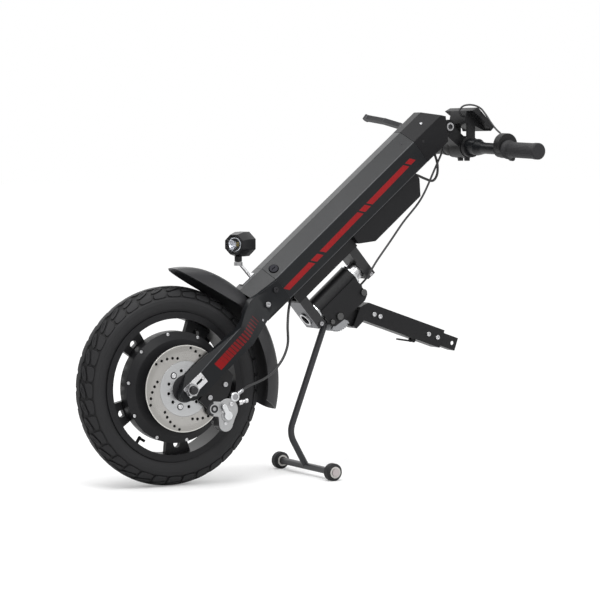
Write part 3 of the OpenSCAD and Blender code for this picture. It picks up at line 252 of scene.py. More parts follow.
def new_piece(name, verts, faces, finish, smooth=True):
    mesh = bpy.data.meshes.new(name)
    mesh.from_pydata([tuple(v) for v in verts], [], faces)
    mesh.materials.append(finish.material)
    if smooth:
        mesh.shade_smooth()
    return add_object(name, mesh)


REACH = 40
LIT_TO, UNLIT_FROM = 0.5, 1.8
GLOW_NEAR, GLOW_MORE, GLOW_POWER = 0.15, 0.45, 1.4
paper = Finish("white_paper", (0.9, 0.9, 0.9), 0.9)
sight = paper.node("ShaderNodeLightPath", out="Is Camera Ray")
floor_x, floor_y = paper.xyz(paper.position())[:2]
away = (floor_x * floor_x + floor_y * floor_y).root().fade(LIT_TO, UNLIT_FROM)
glow = paper.node("ShaderNodeEmission", None, {"Color": rgba(1, 1, 1), "Strength": GLOW_POWER})
lit = paper.node("ShaderNodeMixShader", None,
                 [sight * (away * GLOW_MORE + GLOW_NEAR), Wire(paper, paper.shader.outputs[0]), glow])
paper.plug(paper.tree.nodes["Material Output"].inputs["Surface"], lit)
corners = [(-REACH, -REACH, 0), (REACH, -REACH, 0), (REACH, REACH, 0), (-REACH, REACH, 0)]
floor = new_piece("paper_floor", corners, [(0, 1, 2, 3)], paper, smooth=False)
print("floor", floor.dimensions.x, "m wide")

# %% [markdown]
# The world is white where the camera, a reflection or the glass of the lamp looks at it, and dimmer as a light, so
# that it fills the shadows and leaves the modelling to the lamps.

# %% World
DIM = 0.45
world = bpy.data.worlds.new("studio")
bpy.context.scene.world = world
world.use_nodes = True
air = world.node_tree
backdrop = air.nodes["Background"]
backdrop.inputs["Color"].default_value = rgba(1, 1, 1)
rays = air.nodes.new("ShaderNodeLightPath")
seen = rays.outputs["Is Camera Ray"]
for kind in ("Is Transmission Ray", "Is Glossy Ray"):
    either = air.nodes.new("ShaderNodeMath")
    either.operation = "MAXIMUM"
    air.links.new(seen, either.inputs[0])
    air.links.new(rays.outputs[kind], either.inputs[1])
    seen = either.outputs[0]
level = air.nodes.new("ShaderNodeMapRange")
level.inputs["To Min"].default_value = DIM
level.inputs["To Max"].default_value = 1.0
air.links.new(seen, level.inputs["Value"])
air.links.new(level.outputs["Result"], backdrop.inputs["Strength"])
print("world", DIM, "as a light, 1 as a backdrop")

# %% [markdown]
# Soft lamps are large: a big key lamp over the front left, a fill from above, weak ones from behind and from the
# rider's side, and a long strip that draws a bright line on the rounded edges. All look at the middle of the unit.

# %% Soft lamps
MIDDLE = Vector((0, 0, 0.35))


def soft_lamp(name, place, size, power):
    lamp = bpy.data.lights.new(name, "AREA")
    lamp.shape = "RECTANGLE"
    lamp.size, lamp.size_y = size
    lamp.energy = power
    made = add_object(name, lamp)
    made.location = place
    look_at(made, MIDDLE)


soft_lamp("key_softbox", (-1.15, -1.05, 2.9), (1.8, 1.5), 62)
soft_lamp("top_softbox", (0.3, 0.3, 2.8), (2.2, 1.6), 26)
soft_lamp("back_softbox", (0.05, 2.4, 1.8), (2.4, 1.0), 10)
soft_lamp("rider_softbox", (2.4, -1.6, 1.3), (1.2, 1.2), 10)
soft_lamp("edge_strip", (0.05, -2.4, 1.85), (2.6, 0.35), 20)
print("lamps", {lamp.name: lamp.energy for lamp in bpy.data.lights})

# %% [markdown]
# Pieces that bend along a route, such as hoses, are tubes: a smooth curve through the route's points, and a ring of
# vertices at each step that is carried along without twisting. The route's points are those of the solids. A curve
# with a bevel would give such a tube too, but a mesh of our own has no twist in its bends, and its length can be
# summed.

# %% Tubes along a route


def smooth_route(route, steps):
    points = [Vector(p) for p in route]
    last = len(points) - 1
    made = []
    for i in range(last):
        p, q, r, s = points[max(i - 1, 0)], points[i], points[i + 1], points[min(i + 2, last)]
        for j in range(steps):
            t = j / steps
            made.append(0.5 * (2 * q + (r - p) * t + (2 * p - 5 * q + 4 * r - s) * t * t
                               + (3 * q - p - 3 * r + s) * t * t * t))
    return made + [points[last]]


def ring_faces(rings, sides):
    """Faces that join rings of vertices one to the next and close both ends."""
    faces = []
    for i in range(rings - 1):
        for k in range(sides):
            a, b = i * sides + k, i * sides + (k + 1) % sides
            faces.append((a, b, b + sides, a + sides))
    faces.append(tuple(range(sides - 1, -1, -1)))
    faces.append(tuple(range((rings - 1) * sides, rings * sides)))
    return faces


def tube(name, path, radius, finish, sides=14):
    """A closed tube round a path of points, with one radius or one for each point."""
    radii = radius if isinstance(radius, (list, tuple)) else [radius] * len(path)
    verts, side = [], None
    for i, p in enumerate(path):
        t = (path[min(i + 1, len(path) - 1)] - path[max(i - 1, 0)]).normalized()
        side = (side - t * side.dot(t)).normalized() if side else t.orthogonal().normalized()
        up = t.cross(side)
        for k in range(sides):
            turn = 2 * math.pi * k / sides
            verts.append(p + radii[i] * (math.cos(turn) * side + math.sin(turn) * up))
    return new_piece(name, verts, ring_faces(len(path), sides), finish)


def route_length(path):
    return sum((b - a).length for a, b in zip(path, path[1:]))


half_turn = [(math.cos(u), math.sin(u), 0) for u in np.linspace(0, math.pi, 9)]
print("a route round a half turn of radius 1 measures", round(route_length(smooth_route(half_turn, 6)), 3))


# %% [markdown]
# Four cords run on the outside: the brake's hose, the release cable down to the steering bracket, the harness from
# the controller into the upper cap, and the cable from the display to the throttle. Their rubber is dull and has a
# faint ripple, like any cable that was pulled through a die.

# %% Cords
cable_skin = Finish("cable_skin", (0.012, 0.012, 0.013), 0.5)
cable_skin.bump(cable_skin.noise(900, 2), 0.15, 0.0004)
cable_skin.set("Roughness", cable_skin.noise(60, 2) * 0.2 + 0.42)

HOSE = [(304, -10, -46), (290, -16, -44), (268, -30, -50), (243, -42, -66), (222, -48, -87), (204, -52, -97),
        (185, -54, -103), (160, -57, -105), (138, -61, -101), (114, -67, -91), (95, -70, -83), (76, -71, -80),
        (60, -71, -80)]
RELEASE = [(735, -18, -33.3), (735, -18, -38), (730, -20, -45), (690, -24, -60), (628, -28, -82), (569, -28, -90),
           (523, -28, -99), (475, -30, -107), (450, -31, -113), (438, -28, -118), (430, -20, -122.5),
           (424, -16.2, -124.4), (418, -16, -124.5), (412, -16, -124.5)]
HARNESS = [(647.2, -4, -41), (650, -4, -41), (654, -4.5, -42.5), (661, -6, -51), (669, -8, -66), (679, -10, -80),
           (694, -11, -77), (707, -12, -62), (714, -12, -45), (714, -12, -38), (714, -12, -33.15)]
DISPLAY = [(-13.05, -20, 60), (-18, -20, 62), (-23, -21, 70), (-16, -25, 80), (-2, -34, 82), (9, -46, 76),
           (15, -57, 63), (16, -74, 47), (13, -96, 34), (8, -118, 26), (3, -136.2, 19.5)]


def cord_piece(name, node, route, place, radius, body):
    path = smooth_route([place(*p) for p in route], 6)
    made = tube(name, path, radius * MM, cable_skin)
    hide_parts(node)
    if body:
        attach(made, body)
    print(name, round(route_length(path), 3), "m")
    return made


cord_piece("brake_hose_line", "brake_hose", HOSE, on_beam, 2.5, "frame")
cord_piece("motor_harness_line", "harness_cable", HARNESS, on_beam, 2.5, "frame")
cord_piece("display_line", "display_cable", DISPLAY, on_bar, 1.8, "bars")
release = cord_piece("release_line", "release_cable", RELEASE, on_beam, 2.0, None)
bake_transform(release)

# %% [markdown]
# Several tools below are trees of Geometry Nodes. A small class writes such a tree like a recipe: its named inputs
# first, then one line for each step. A tree is put on a piece as a modifier, its inputs are set, and the result is
# then turned into a plain mesh, so that nothing depends on the tree later.

# %% Trees of Geometry Nodes


class Tree:
    """A Geometry Nodes tree with named inputs."""

    def __init__(self, name, **inputs):
        self.group = bpy.data.node_groups.new(name, "GeometryNodeTree")
        sockets = self.group.interface
        sockets.new_socket("Geometry", in_out="INPUT", socket_type="NodeSocketGeometry")
        self.keys = {key: sockets.new_socket(key, in_out="INPUT", socket_type="NodeSocket" + kind).identifier
                     for key, kind in inputs.items()}
        sockets.new_socket("Geometry", in_out="OUTPUT", socket_type="NodeSocketGeometry")
        self.given = self.group.nodes.new("NodeGroupInput").outputs

    def add(self, kind, settings=None, values=None, out=0):
        made = set_all(self.group.nodes.new(kind), settings or {})
        for key, value in (values or {}).items():
            if isinstance(value, bpy.types.NodeSocket):
                self.group.links.new(value, made.inputs[key])
            else:
                made.inputs[key].default_value = value
        return made.outputs[out]

    def end(self, geometry):
        self.group.links.new(geometry, self.group.nodes.new("NodeGroupOutput").inputs[0])

    def use(self, piece, **values):
        modifier = piece.modifiers.new(self.group.name, "NODES")
        modifier.node_group = self.group
        for key, value in values.items():
            modifier[self.keys[key]] = value


def settle(piece):
    """Turns a piece with modifiers into a plain mesh."""
    seen = piece.evaluated_get(bpy.context.evaluated_depsgraph_get())
    mesh = bpy.data.meshes.new_from_object(seen)
    piece.modifiers.clear()
    piece.data = mesh
    print(piece.name, len(mesh.polygons), "faces")


print("a tree can", ", ".join(name for name in vars(Tree) if name[0] != "_"))

# %% [markdown]
# A ring of copies makes everything that repeats round an axle: the input mesh is one pitch, and each copy is turned
# by its own number times the pitch. The copies are joined where they touch. An Array modifier turned by a helper
# object would do it as well, but the tree needs no helper and takes any centre and axis.

# %% Ring of copies
JOIN = 2e-5
ring = Tree("ring_of_copies", Count="Int", Centre="Vector", Axis="Vector", Finish="Material")
turn = ring.add("ShaderNodeMath", {"operation": "DIVIDE"}, {0: 2 * math.pi, 1: ring.given["Count"]})
turn = ring.add("ShaderNodeMath", {"operation": "MULTIPLY"}, {0: turn, 1: ring.add("GeometryNodeInputIndex")})
turn = ring.add("FunctionNodeAxisAngleToRotation", None, {"Axis": ring.given["Axis"], "Angle": turn})
spots = ring.add("GeometryNodePoints", None, {"Count": ring.given["Count"]})
copies = ring.add("GeometryNodeInstanceOnPoints", None, {"Points": spots, "Instance": ring.given["Geometry"]})
copies = ring.add("GeometryNodeRotateInstances", None,
                  {"Instances": copies, "Rotation": turn, "Local Space": False, "Pivot Point": ring.given["Centre"]})
copies = ring.add("GeometryNodeRealizeInstances", None, {"Geometry": copies})
copies = ring.add("GeometryNodeMergeByDistance", None, {"Geometry": copies, "Distance": JOIN})
ring.end(ring.add("GeometryNodeSetMaterial", None, {"Geometry": copies, "Material": ring.given["Finish"]}))
print(ring.group.name, len(ring.group.nodes), "nodes")

# %% [markdown]
# Screws sit at points of a mesh. Each point carries the way its screw faces and its size, and the tree turns and
# scales one modelled head to suit. A few screws could be copied by hand. There are about forty, so a tree is shorter,
# and all of them change with the one head.

# %% Screws at points
heads = Tree("screws_at_points", Head="Object", Finish="Material")
facing = heads.add("GeometryNodeInputNamedAttribute", {"data_type": "FLOAT_VECTOR"}, {"Name": "facing"})
facing = heads.add("FunctionNodeAlignRotationToVector", {"axis": "Z"}, {"Vector": facing})
size = heads.add("GeometryNodeInputNamedAttribute", {"data_type": "FLOAT_VECTOR"}, {"Name": "size"})
head = heads.add("GeometryNodeObjectInfo", None, {"Object": heads.given["Head"]}, "Geometry")
placed = heads.add("GeometryNodeInstanceOnPoints", None,
                   {"Points": heads.given["Geometry"], "Instance": head, "Rotation": facing, "Scale": size})
placed = heads.add("GeometryNodeRealizeInstances", None, {"Geometry": placed})
heads.end(heads.add("GeometryNodeSetMaterial", None, {"Geometry": placed, "Material": heads.given["Finish"]}))
print(heads.group.name, len(heads.group.nodes), "nodes")

# %% [markdown]
# The head is a socket head: a short round wall with a worn edge and a hexagon sunk into it. It is written as rings,
# each a radius and a height as shares of the head's own, and joined one to the next.

# %% Socket heads
HEAD = [(1, 0, 0), (1, 0.72, 0), (0.93, 0.93, 0), (0.84, 1, 0), (0.54, 1, 1), (0.5, 0.9, 1), (0.5, 0.42, 1)]


def round_rings(rings, sides):
    """Vertices and faces of rings of (radius, height, hexagon or not) round Z, joined one to the next."""
    verts = []
    for radius, height, hexagon in rings:
        for k in range(sides):
            angle = 2 * math.pi * k / sides
            reach = radius
            if hexagon:
                reach = radius / math.cos((angle + math.pi / 6) % (math.pi / 3) - math.pi / 6)
            verts.append((reach * math.cos(angle), reach * math.sin(angle), height))
    return verts, ring_faces(len(rings), sides)


def screws(name, finish, places):
    """Socket heads at (point, facing, radius, height), made as one piece."""
    model = new_piece(name + "_head", *round_rings(HEAD, 24), finish, smooth=False)
    mesh = bpy.data.meshes.new(name)
    mesh.from_pydata([tuple(p[0]) for p in places], [], [])
    for key, values in (("facing", [tuple(p[1]) for p in places]),
                        ("size", [(p[2], p[2], p[3]) for p in places])):
        mesh.attributes.new(key, "FLOAT_VECTOR", "POINT").data.foreach_set("vector", np.ravel(values))
    made = add_object(name, mesh)
    heads.use(made, Head=model, Finish=finish.material)
    settle(made)
    bpy.data.objects.remove(model)
    return made


print("a head has", len(round_rings(HEAD, 24)[1]), "faces")

# %% [markdown]
# No real edge is a knife's. Each solid that shows keeps its shape, and modifiers take its hard edges off: its loose
# triangles are joined, flat faces are merged, edges are rounded by a fraction of a millimetre, and a last tree shades
# what is left smooth up to an angle. The highlight on a rounded edge is what makes a black part readable. Rounding
# the solids themselves would be slow, and the modifiers leave their measured faces where they are.

# %% Rounded edges for the solids
CREASE, BEVEL_FROM, FLAT = math.radians(50), math.radians(30), math.radians(0.5)
crease = Tree("smooth_to_angle", Limit="Float")
bend = crease.add("GeometryNodeInputMeshEdgeAngle")
soft = crease.add("ShaderNodeMath", {"operation": "LESS_THAN"}, {0: bend, 1: crease.given["Limit"]})
whole = crease.add("GeometryNodeSetShadeSmooth", {"domain": "FACE"}, {0: crease.given["Geometry"]})
crease.end(crease.add("GeometryNodeSetShadeSmooth", {"domain": "EDGE"}, {0: whole, "Shade Smooth": soft}))


def modify(piece, name, kind, **settings):
    set_all(piece.modifiers.new(name, kind), settings)


def round_edges(piece, edge):
    modify(piece, "join_triangles", "WELD", merge_threshold=JOIN)
    modify(piece, "merge_flat_faces", "DECIMATE", decimate_type="DISSOLVE", angle_limit=FLAT)
    if edge:
        modify(piece, "rounded_edges", "BEVEL", width=edge * MM, segments=2, limit_method="ANGLE",
               angle_limit=BEVEL_FROM, miter_outer="MITER_ARC")
    crease.use(piece, Limit=CREASE)
    if edge:
        modify(piece, "flat_faces_stay_flat", "WEIGHTED_NORMAL", keep_sharp=True)


def dress(finish, edge, *names):
    for name in names:
        node = nodes[name]
        if not node.material_slots:
            node.data.materials.append(None)
        for place in node.material_slots:
            place.material = finish.material
        round_edges(node, edge)


print(crease.group.name, len(crease.group.nodes), "nodes")

# %% [markdown]
# Trim and wear follow measured places, so a finish needs those places as formulas: millimetres along, across and out
# of the beam, and the distance, the way along and the angle round the wheel's axle, or any other that runs from side
# to side.

# %% Places as formulas


def beam_place(finish):
    x, y, z = finish.xyz(finish.position())
    x, z = (x - AXLE.x) * 1000, (z - AXLE.z) * 1000
    return (x * math.cos(RAKE) + z * math.sin(RAKE), y * 1000, z * math.cos(RAKE) - x * math.sin(RAKE))


def axle_place(finish, centre=AXLE):
    """Distance from an axle along Y, the way along it, and the angle round it."""
    x, y, z = finish.xyz(finish.position())
    x, z = (x - centre.x) * 1000, (z - centre.z) * 1000
    return (x * x + z * z).root(), y * 1000, z.angle(x)


def shade(color, factor):
    return rgba(*[c * factor for c in color])


print("places are measured from the axle at", tuple(round(c, 4) for c in AXLE))

# %% [markdown]
# The frame is aluminium under satin black paint. Sprayed paint is never flat: it has a fine ripple called orange
# peel, and its gloss wanders a little. The same recipe, with other numbers, makes powder coat, which is rougher and
# has a tighter grain. A painted picture would have to be unwrapped onto each piece. Noise in the object's own
# coordinates needs no unwrapping and is as fine close up as from far.

# %% Paint


def paint(name, color, rough, grain=420, depth=0.12, shine=0.22):
    made = Finish(name, color, rough, Specular_IOR_Level=shine)
    cloud = made.noise(7, 3)
    made.set("Base Color", made.mix(cloud, shade(color, 0.82), shade(color, 1.2)))
    made.set("Roughness", cloud * 0.1 + made.noise(140, 2) * 0.08 + (rough - 0.09))
    made.bump(made.noise(grain, 2, 0.55), depth, 0.0003)
    return made


BLACK = (0.0078, 0.0086, 0.0098)
frame_paint = paint("frame_paint", BLACK, 0.34)
rail_paint = paint("rail_paint", (0.008, 0.008, 0.0088), 0.42)
case_coat = paint("case_powder_coat", (0.0072, 0.0072, 0.008), 0.5, 900, 0.3, 0.18)
wheel_paint = paint("wheel_paint", (0.0125, 0.0125, 0.0135), 0.36, shine=0.14)
bracket_coat = paint("bracket_powder_coat", (0.0065, 0.0065, 0.0072), 0.42, 800, 0.25)
stand_paint = paint("stand_paint", (0.02, 0.02, 0.0225), 0.36, shine=0.35)
print("paints", [p.material.name for p in (frame_paint, rail_paint, case_coat, wheel_paint)])

# %% [markdown]
# Two trims are printed on the paint: a broken red stripe along both sides of the beam, with slanted cuts, and a fan
# of red bars on the outer face of each fork leg, solid at the foot and thinner and darker towards the top. Both are
# masks in the beam's own measures, so they stay where they are from every side. The creases of the beam and the ridge
# of each leg also get a fine light line, a painted highlight where a rounded edge would catch the light. Thin strips
# of mesh would do for the trim, but print has no thickness.

# %% Red trim
RED, DEEP_RED = rgba(0.24, 0.006, 0.008), rgba(0.2, 0.003, 0.004)
# The grey of the painted highlight line on the creases of the beam and the ridge of each leg, and how strongly it is
# laid on.
EDGE, EDGE_HIGHLIGHT_MIX = rgba(0.07, 0.072, 0.076), 0.8
STRIPE = [(0.02, 0.215), (0.228, 0.278), (0.297, 0.589), (0.601, 0.646), (0.658, 0.949), (0.962, 1.0)]
STRIPE_FROM, STRIPE_LENGTH, STRIPE_SLANT = 276, 384, 0.8
STRIPE_LOW, STRIPE_RISE, STRIPE_HALF = 13.7, 7, 5.5
BEAM_SIDE, BEAM_CREASE, BEAM_LOW_EDGE = 37.0, 17, 32.2
BARS, BARS_FROM, BARS_LENGTH, BARS_HALF = 16.5, 68, 125, 9.2
LEG_FACE, LEG_BEND, LEG_SLOPE = 88.4, 150, 0.5263


def striped_paint(name):
    made = paint(name, BLACK, 0.34)
    a, y, b = beam_place(made)
    t = (a - STRIPE_FROM + (b + 10) * STRIPE_SLANT) / STRIPE_LENGTH
    inside = sum((t.between(low, high) for low, high in STRIPE[1:]), t.between(*STRIPE[0]))
    band = (abs(b - (t * STRIPE_RISE - STRIPE_LOW)) < STRIPE_HALF) * (abs(y) > BEAM_SIDE)
    made.over(inside * band * (made.noise(220, 2) * 0.25 + 0.85), RED)
    # A fine painted highlight along the crease and along the low edge of each side of the beam.
    edge = ((abs(b - BEAM_CREASE) < 1.0) + (abs(b + BEAM_LOW_EDGE) < 0.8)) * (abs(y) > BEAM_SIDE - 0.4)
    made.over(edge * EDGE_HIGHLIGHT_MIX, EDGE)
    return made


def barred_paint(name):
    made = paint(name, BLACK, 0.34, shine=0.15)
    a, y, b = beam_place(made)
    across = b - ((a - 69) * 0.052 - 6)
    t = (a + across * 0.2 - BARS_FROM) / BARS_LENGTH
    bars = (t * BARS).fraction() < (1.06 - t * 0.78)
    outside = (abs(y) + (a - LEG_BEND).most(0) * LEG_SLOPE) > LEG_FACE
    ink = bars * outside * (abs(across) < BARS_HALF) * t.between(0, 1) * (1.0 - t * 0.72)
    made.over(ink, DEEP_RED)
    # A fine painted highlight along the ridge of the leg.
    ridge = (a - 14) * -0.0544 + (abs(y) - 89) * 0.537 + (b - 9) * 0.8417
    made.over((abs(ridge) < 0.8) * outside * (a > 20) * EDGE_HIGHLIGHT_MIX, EDGE)
    return made


beam_paint = striped_paint("beam_paint_with_stripe")
leg_paint = barred_paint("leg_paint_with_bars")
print("stripe of", len(STRIPE), "pieces,", round(STRIPE_LENGTH * sum(b - a for a, b in STRIPE)), "mm of red")

# %% [markdown]
# Caps, housings and grips are moulded. Moulded plastic takes the sparked grain of its mould: fine, even and matt.
# Rubber is duller still, and a little grey with dust.

# %% Moulded plastic and rubber


def moulded(name, color, rough, grain=1100, depth=0.35, shine=0.22):
    made = Finish(name, color, rough, Specular_IOR_Level=shine)
    cloud = made.noise(11, 3)
    made.set("Base Color", made.mix(cloud, shade(color, 0.8), shade(color, 1.25)))
    made.set("Roughness", cloud * 0.12 + (rough - 0.06))
    made.bump(made.noise(grain, 2, 0.6), depth, 0.0002)
    return made


cap_plastic = moulded("cap_plastic", (0.0068, 0.0068, 0.0076), 0.42, shine=0.15)
housing_plastic = moulded("housing_plastic", (0.0078, 0.0078, 0.0085), 0.48, 900)
guard_plastic = moulded("guard_plastic", (0.016, 0.016, 0.0175), 0.4, 1400, 0.2, 0.3)
lamp_plastic = moulded("lamp_plastic", (0.0085, 0.0085, 0.0095), 0.38)
valve_rubber = moulded("valve_rubber", (0.011, 0.011, 0.011), 0.7)
print("plastics", [p.material.name for p in (cap_plastic, housing_plastic, guard_plastic, lamp_plastic)])

# %% [markdown]
# Bare metal comes in three kinds here. Turned metal has fine rings round its axle, brushed metal has lines one way,
# and cast metal is grainy. Each starts from its own colour, because steel is warmer than aluminium and zinc.

# %% Bare metal


def turned(name, color, rough, centre=AXLE, lines=1.6):
    made = Finish(name, color, rough, 1.0)
    r, y = axle_place(made, centre)[:2]
    rings = made.noise(1.0, 3, 0.6, made.node("ShaderNodeCombineXYZ", None, [r * lines, y * 0.05, 0.0]))
    cloud = made.noise(30, 3)
    made.set("Base Color", made.mix(rings, shade(color, 0.8), shade(color, 1.12)))
    made.set("Roughness", rings * 0.14 + cloud * 0.1 + (rough - 0.12))
    made.bump(rings, 0.25, 0.0002)
    return made


def brushed(name, color, rough):
    made = Finish(name, color, rough, 1.0)
    stretch = made.node("ShaderNodeVectorRotate", {"rotation_type": "Y_AXIS"},
                        {"Vector": made.position(), "Angle": RAKE})
    stretch = made.node("ShaderNodeVectorMath", {"operation": "MULTIPLY"}, {0: stretch, 1: (40, 900, 1500)})
    lines = made.noise(1.0, 3, 0.6, stretch)
    made.set("Base Color", made.mix(lines, shade(color, 0.82), shade(color, 1.1)))
    made.set("Roughness", lines * 0.2 + made.noise(25, 2) * 0.1 + (rough - 0.15))
    made.bump(lines, 0.2, 0.0002)
    return made


def cast(name, color, rough, metal=1.0):
    made = Finish(name, color, rough, metal)
    grain = made.noise(520, 4, 0.6)
    cloud = made.noise(35, 3)
    made.set("Base Color", made.mix(cloud * 0.5 + grain * 0.5, shade(color, 0.78), shade(color, 1.1)))
    made.set("Roughness", grain * 0.16 + cloud * 0.12 + (rough - 0.14))
    made.bump(grain, 0.3, 0.0003)
    return made


steel = brushed("bright_steel", (0.52, 0.52, 0.53), 0.3)
zinc = cast("zinc_screws", (0.6, 0.6, 0.61), 0.3)
dark_zinc = cast("dark_zinc_bolts", (0.1, 0.1, 0.1), 0.34)
black_oxide = cast("black_oxide", (0.02, 0.02, 0.022), 0.42, 0.6)
chrome = cast("chrome_plate", (0.55, 0.55, 0.56), 0.12)
hose_steel = cast("hose_steel", (0.3, 0.3, 0.31), 0.25)
disc_steel = turned("disc_steel", (0.38, 0.37, 0.355), 0.3, lines=2.2)
caliper_alloy = cast("caliper_cast_alloy", (0.37, 0.372, 0.376), 0.42)
grey_cast = cast("grey_cast_alloy", (0.3, 0.305, 0.315), 0.45)
cup_alloy = brushed("cup_alloy", (0.62, 0.63, 0.64), 0.24)
copper_windings = cast("copper_windings", (0.55, 0.22, 0.1), 0.35)
magnet_nickel = cast("magnet_nickel", (0.42, 0.42, 0.43), 0.35)
pad_compound = cast("pad_compound", (0.07, 0.055, 0.045), 0.85, 0.25)
print("finishes so far", len(bpy.data.materials))

# %% [markdown]
# Some solids are two finishes in one: an axle is bright inside and black at its ends, a nut is bright round a dark
# middle, and a clamp is bare or painted black by its place, with painted shade on the side faces of the lower one.
# The disc is darker towards its outer band and has a painted highlight on its edge, and the carrier has a painted
# highlight on its rim and painted shade round its screws. A second colour and a second set of metal and roughness
# are mixed by a mask.

# %% Two finishes in one


def two_tone(made, mask, color, rough, metal):
    """Puts a second colour, roughness and metal where the mask is 1."""
    for socket, value in (("Roughness", rough), ("Metallic", metal)):
        made.set(socket, mask * value + (1.0 - mask) * made.now(socket))
    made.over(mask, rgba(*color))


DARK, DARKEST = (0.02, 0.02, 0.022), (0.012, 0.012, 0.014)
BUSH = (67.3, -3)
CARRIER_SCREWS = [(34, 133 + 120 * k) for k in range(3)]
axle_steel = brushed("axle_steel", (0.5, 0.5, 0.51), 0.32)
two_tone(axle_steel, abs(axle_place(axle_steel)[1]) > 92.5, DARK, 0.4, 0.5)
nut_zinc = cast("axle_nut_zinc", (0.36, 0.36, 0.37), 0.26)
two_tone(nut_zinc, axle_place(nut_zinc)[0] < 8.2, DARK, 0.4, 0.6)
clamp_alloy = cast("clamp_alloy", (0.17, 0.172, 0.18), 0.42)
clamp_a, clamp_y = beam_place(clamp_alloy)[:2]
# The upper clamp is painted black. The side faces of the lower clamp are darkened as painted shade beside its grey
# front.
two_tone(clamp_alloy, (clamp_a > 380).most(abs(clamp_y) > 23.4), (0.008, 0.008, 0.009), 0.42, 0.1)
bolt_zinc = cast("frame_bolt_zinc", (0.4, 0.4, 0.41), 0.3)
# The frame bolts between 250 and 300 mm along the beam are near black.
two_tone(bolt_zinc, beam_place(bolt_zinc)[0].between(250, 300), DARKEST, 0.42, 0.4)
two_tone(bolt_zinc, axle_place(bolt_zinc, on_beam(767, 0, -16.5))[0] < 5.2, DARK, 0.42, 0.4)
carrier_alloy = turned("carrier_alloy", (0.43, 0.435, 0.44), 0.3, lines=1.2)
carrier_r = axle_place(carrier_alloy)[0]
two_tone(carrier_alloy, carrier_r < 25.5, (0.014, 0.014, 0.016), 0.5, 0.2)
# A painted highlight ring on the carrier's rim.
two_tone(carrier_alloy, carrier_r > 52.6, (0.8, 0.8, 0.79), 0.2, 1.0)
# Painted shade in the gap round each of the three screws of the carrier.
for r, deg in CARRIER_SCREWS:
    two_tone(carrier_alloy, axle_place(carrier_alloy, round_axle(r, deg))[0] < 6.4, DARK, 0.5, 0.5)
disc_r = axle_place(disc_steel)[0]
# The disc gets darker towards its outer band, and a painted highlight on its outer edge.
disc_steel.over(disc_r.fade(62, 74) * 0.35, rgba(0.2, 0.195, 0.18))
disc_steel.over(disc_r > 78.6, rgba(0.62, 0.61, 0.58))
two_tone(stand_paint, abs(axle_place(stand_paint)[1]) > 111.2, (0.42, 0.38, 0.38), 0.35, 0.9)
bush_r, _, bush_angle = axle_place(caliper_alloy, on_caliper(*BUSH, 0))
# Part of a ring round the bush on the caliper's face is near black.
two_tone(caliper_alloy, bush_r.between(9.6, 16) * (abs(bush_angle) > 1.75), DARKEST, 0.45, 0.3)
print("finishes so far", len(bpy.data.materials))

# %% [markdown]
# Some finishes have a pattern of their own. A roller has a pale hub ring in dark rubber, a grip has a cross-cut
# pattern that wraps its tube, the torque plate is engraved, the wrap of the battery shows its rows of cells, and the
# glass of the display has a black margin.

# %% Patterned finishes
roller_rubber = moulded("roller_rubber", (0.014, 0.014, 0.015), 0.6)
ROLLER_AXLE = Vector((0.0401, 0, 0.0165))
roller_r, roller_y = axle_place(roller_rubber, ROLLER_AXLE)[:2]
two_tone(roller_rubber, roller_r.between(7.6, 10.8) * (abs(abs(roller_y) - 101) > 9.2), (0.5, 0.49, 0.47), 0.45, 0.1)

grip_rubber = moulded("grip_rubber", (0.02, 0.02, 0.0215), 0.6)
grip_x, grip_y, grip_z = grip_rubber.xyz(grip_rubber.position())
reach = abs(grip_y) * 1000
lift = grip_z - BAR.z + abs(grip_y) * math.tan(math.radians(2))
around = lift.angle(grip_x - BAR.x)
CUTS_ROUND, CUTS_ALONG = 16, 0.85
one_way, other_way = around * CUTS_ROUND + reach * CUTS_ALONG, around * CUTS_ROUND - reach * CUTS_ALONG
diamonds = (one_way.sine() * other_way.sine()).fade(-0.1, 0.35)
zone = reach.between(168, 242)
grip_rubber.bump(diamonds * zone + grip_rubber.noise(1100, 2, 0.6) * 0.12, 0.9, 0.0008)

engraved = brushed("torque_plate_steel", (0.64, 0.64, 0.65), 0.27)
plate_a, _, plate_b = beam_place(engraved)
from_mark = (plate_a - 31) * (plate_a - 31) + plate_b * plate_b
mark = from_mark.between(6, 11)
two_tone(engraved, mark, (0.12, 0.12, 0.125), 0.6, 0.6)

battery_wrap = Finish("battery_wrap", (0.02, 0.06, 0.16), 0.3)
pack_a, pack_y = beam_place(battery_wrap)[:2]
CELL = 0.34
cells = (pack_a * CELL).sine() * (pack_y * CELL).sine()
battery_wrap.set("Base Color", battery_wrap.mix(battery_wrap.noise(18, 3), rgba(0.014, 0.045, 0.13),
                                                rgba(0.03, 0.08, 0.2)))
battery_wrap.set("Roughness", battery_wrap.noise(60, 3) * 0.2 + 0.2)
battery_wrap.bump(cells + battery_wrap.noise(90, 3), 0.4, 0.0012)

screen_glass = Finish("screen_glass", (0.006, 0.008, 0.011), 0.08, Coat_Weight=0.6, Coat_Roughness=0.04)
_, screen_y, screen_z = screen_glass.xyz(screen_glass.position())
margin = (abs(screen_y) * 1000 > 40.5).most((screen_z - BAR.z) * 1000 > 68)
screen_glass.set("Base Color", screen_glass.mix(margin, rgba(0.010, 0.016, 0.02), rgba(0.004, 0.004, 0.005)))
screen_glass.set("Roughness", screen_glass.noise(40, 3) * 0.08 + 0.05)

key_metal = turned("key_metal", (0.013, 0.013, 0.015), 0.4, lines=1.0)
print("finishes", len(bpy.data.materials))

# %% [markdown]
# Every solid now gets its finish and a radius for its edges in millimetres: large on moulded parts, small on sheet
# metal, least on thread and bearing parts.

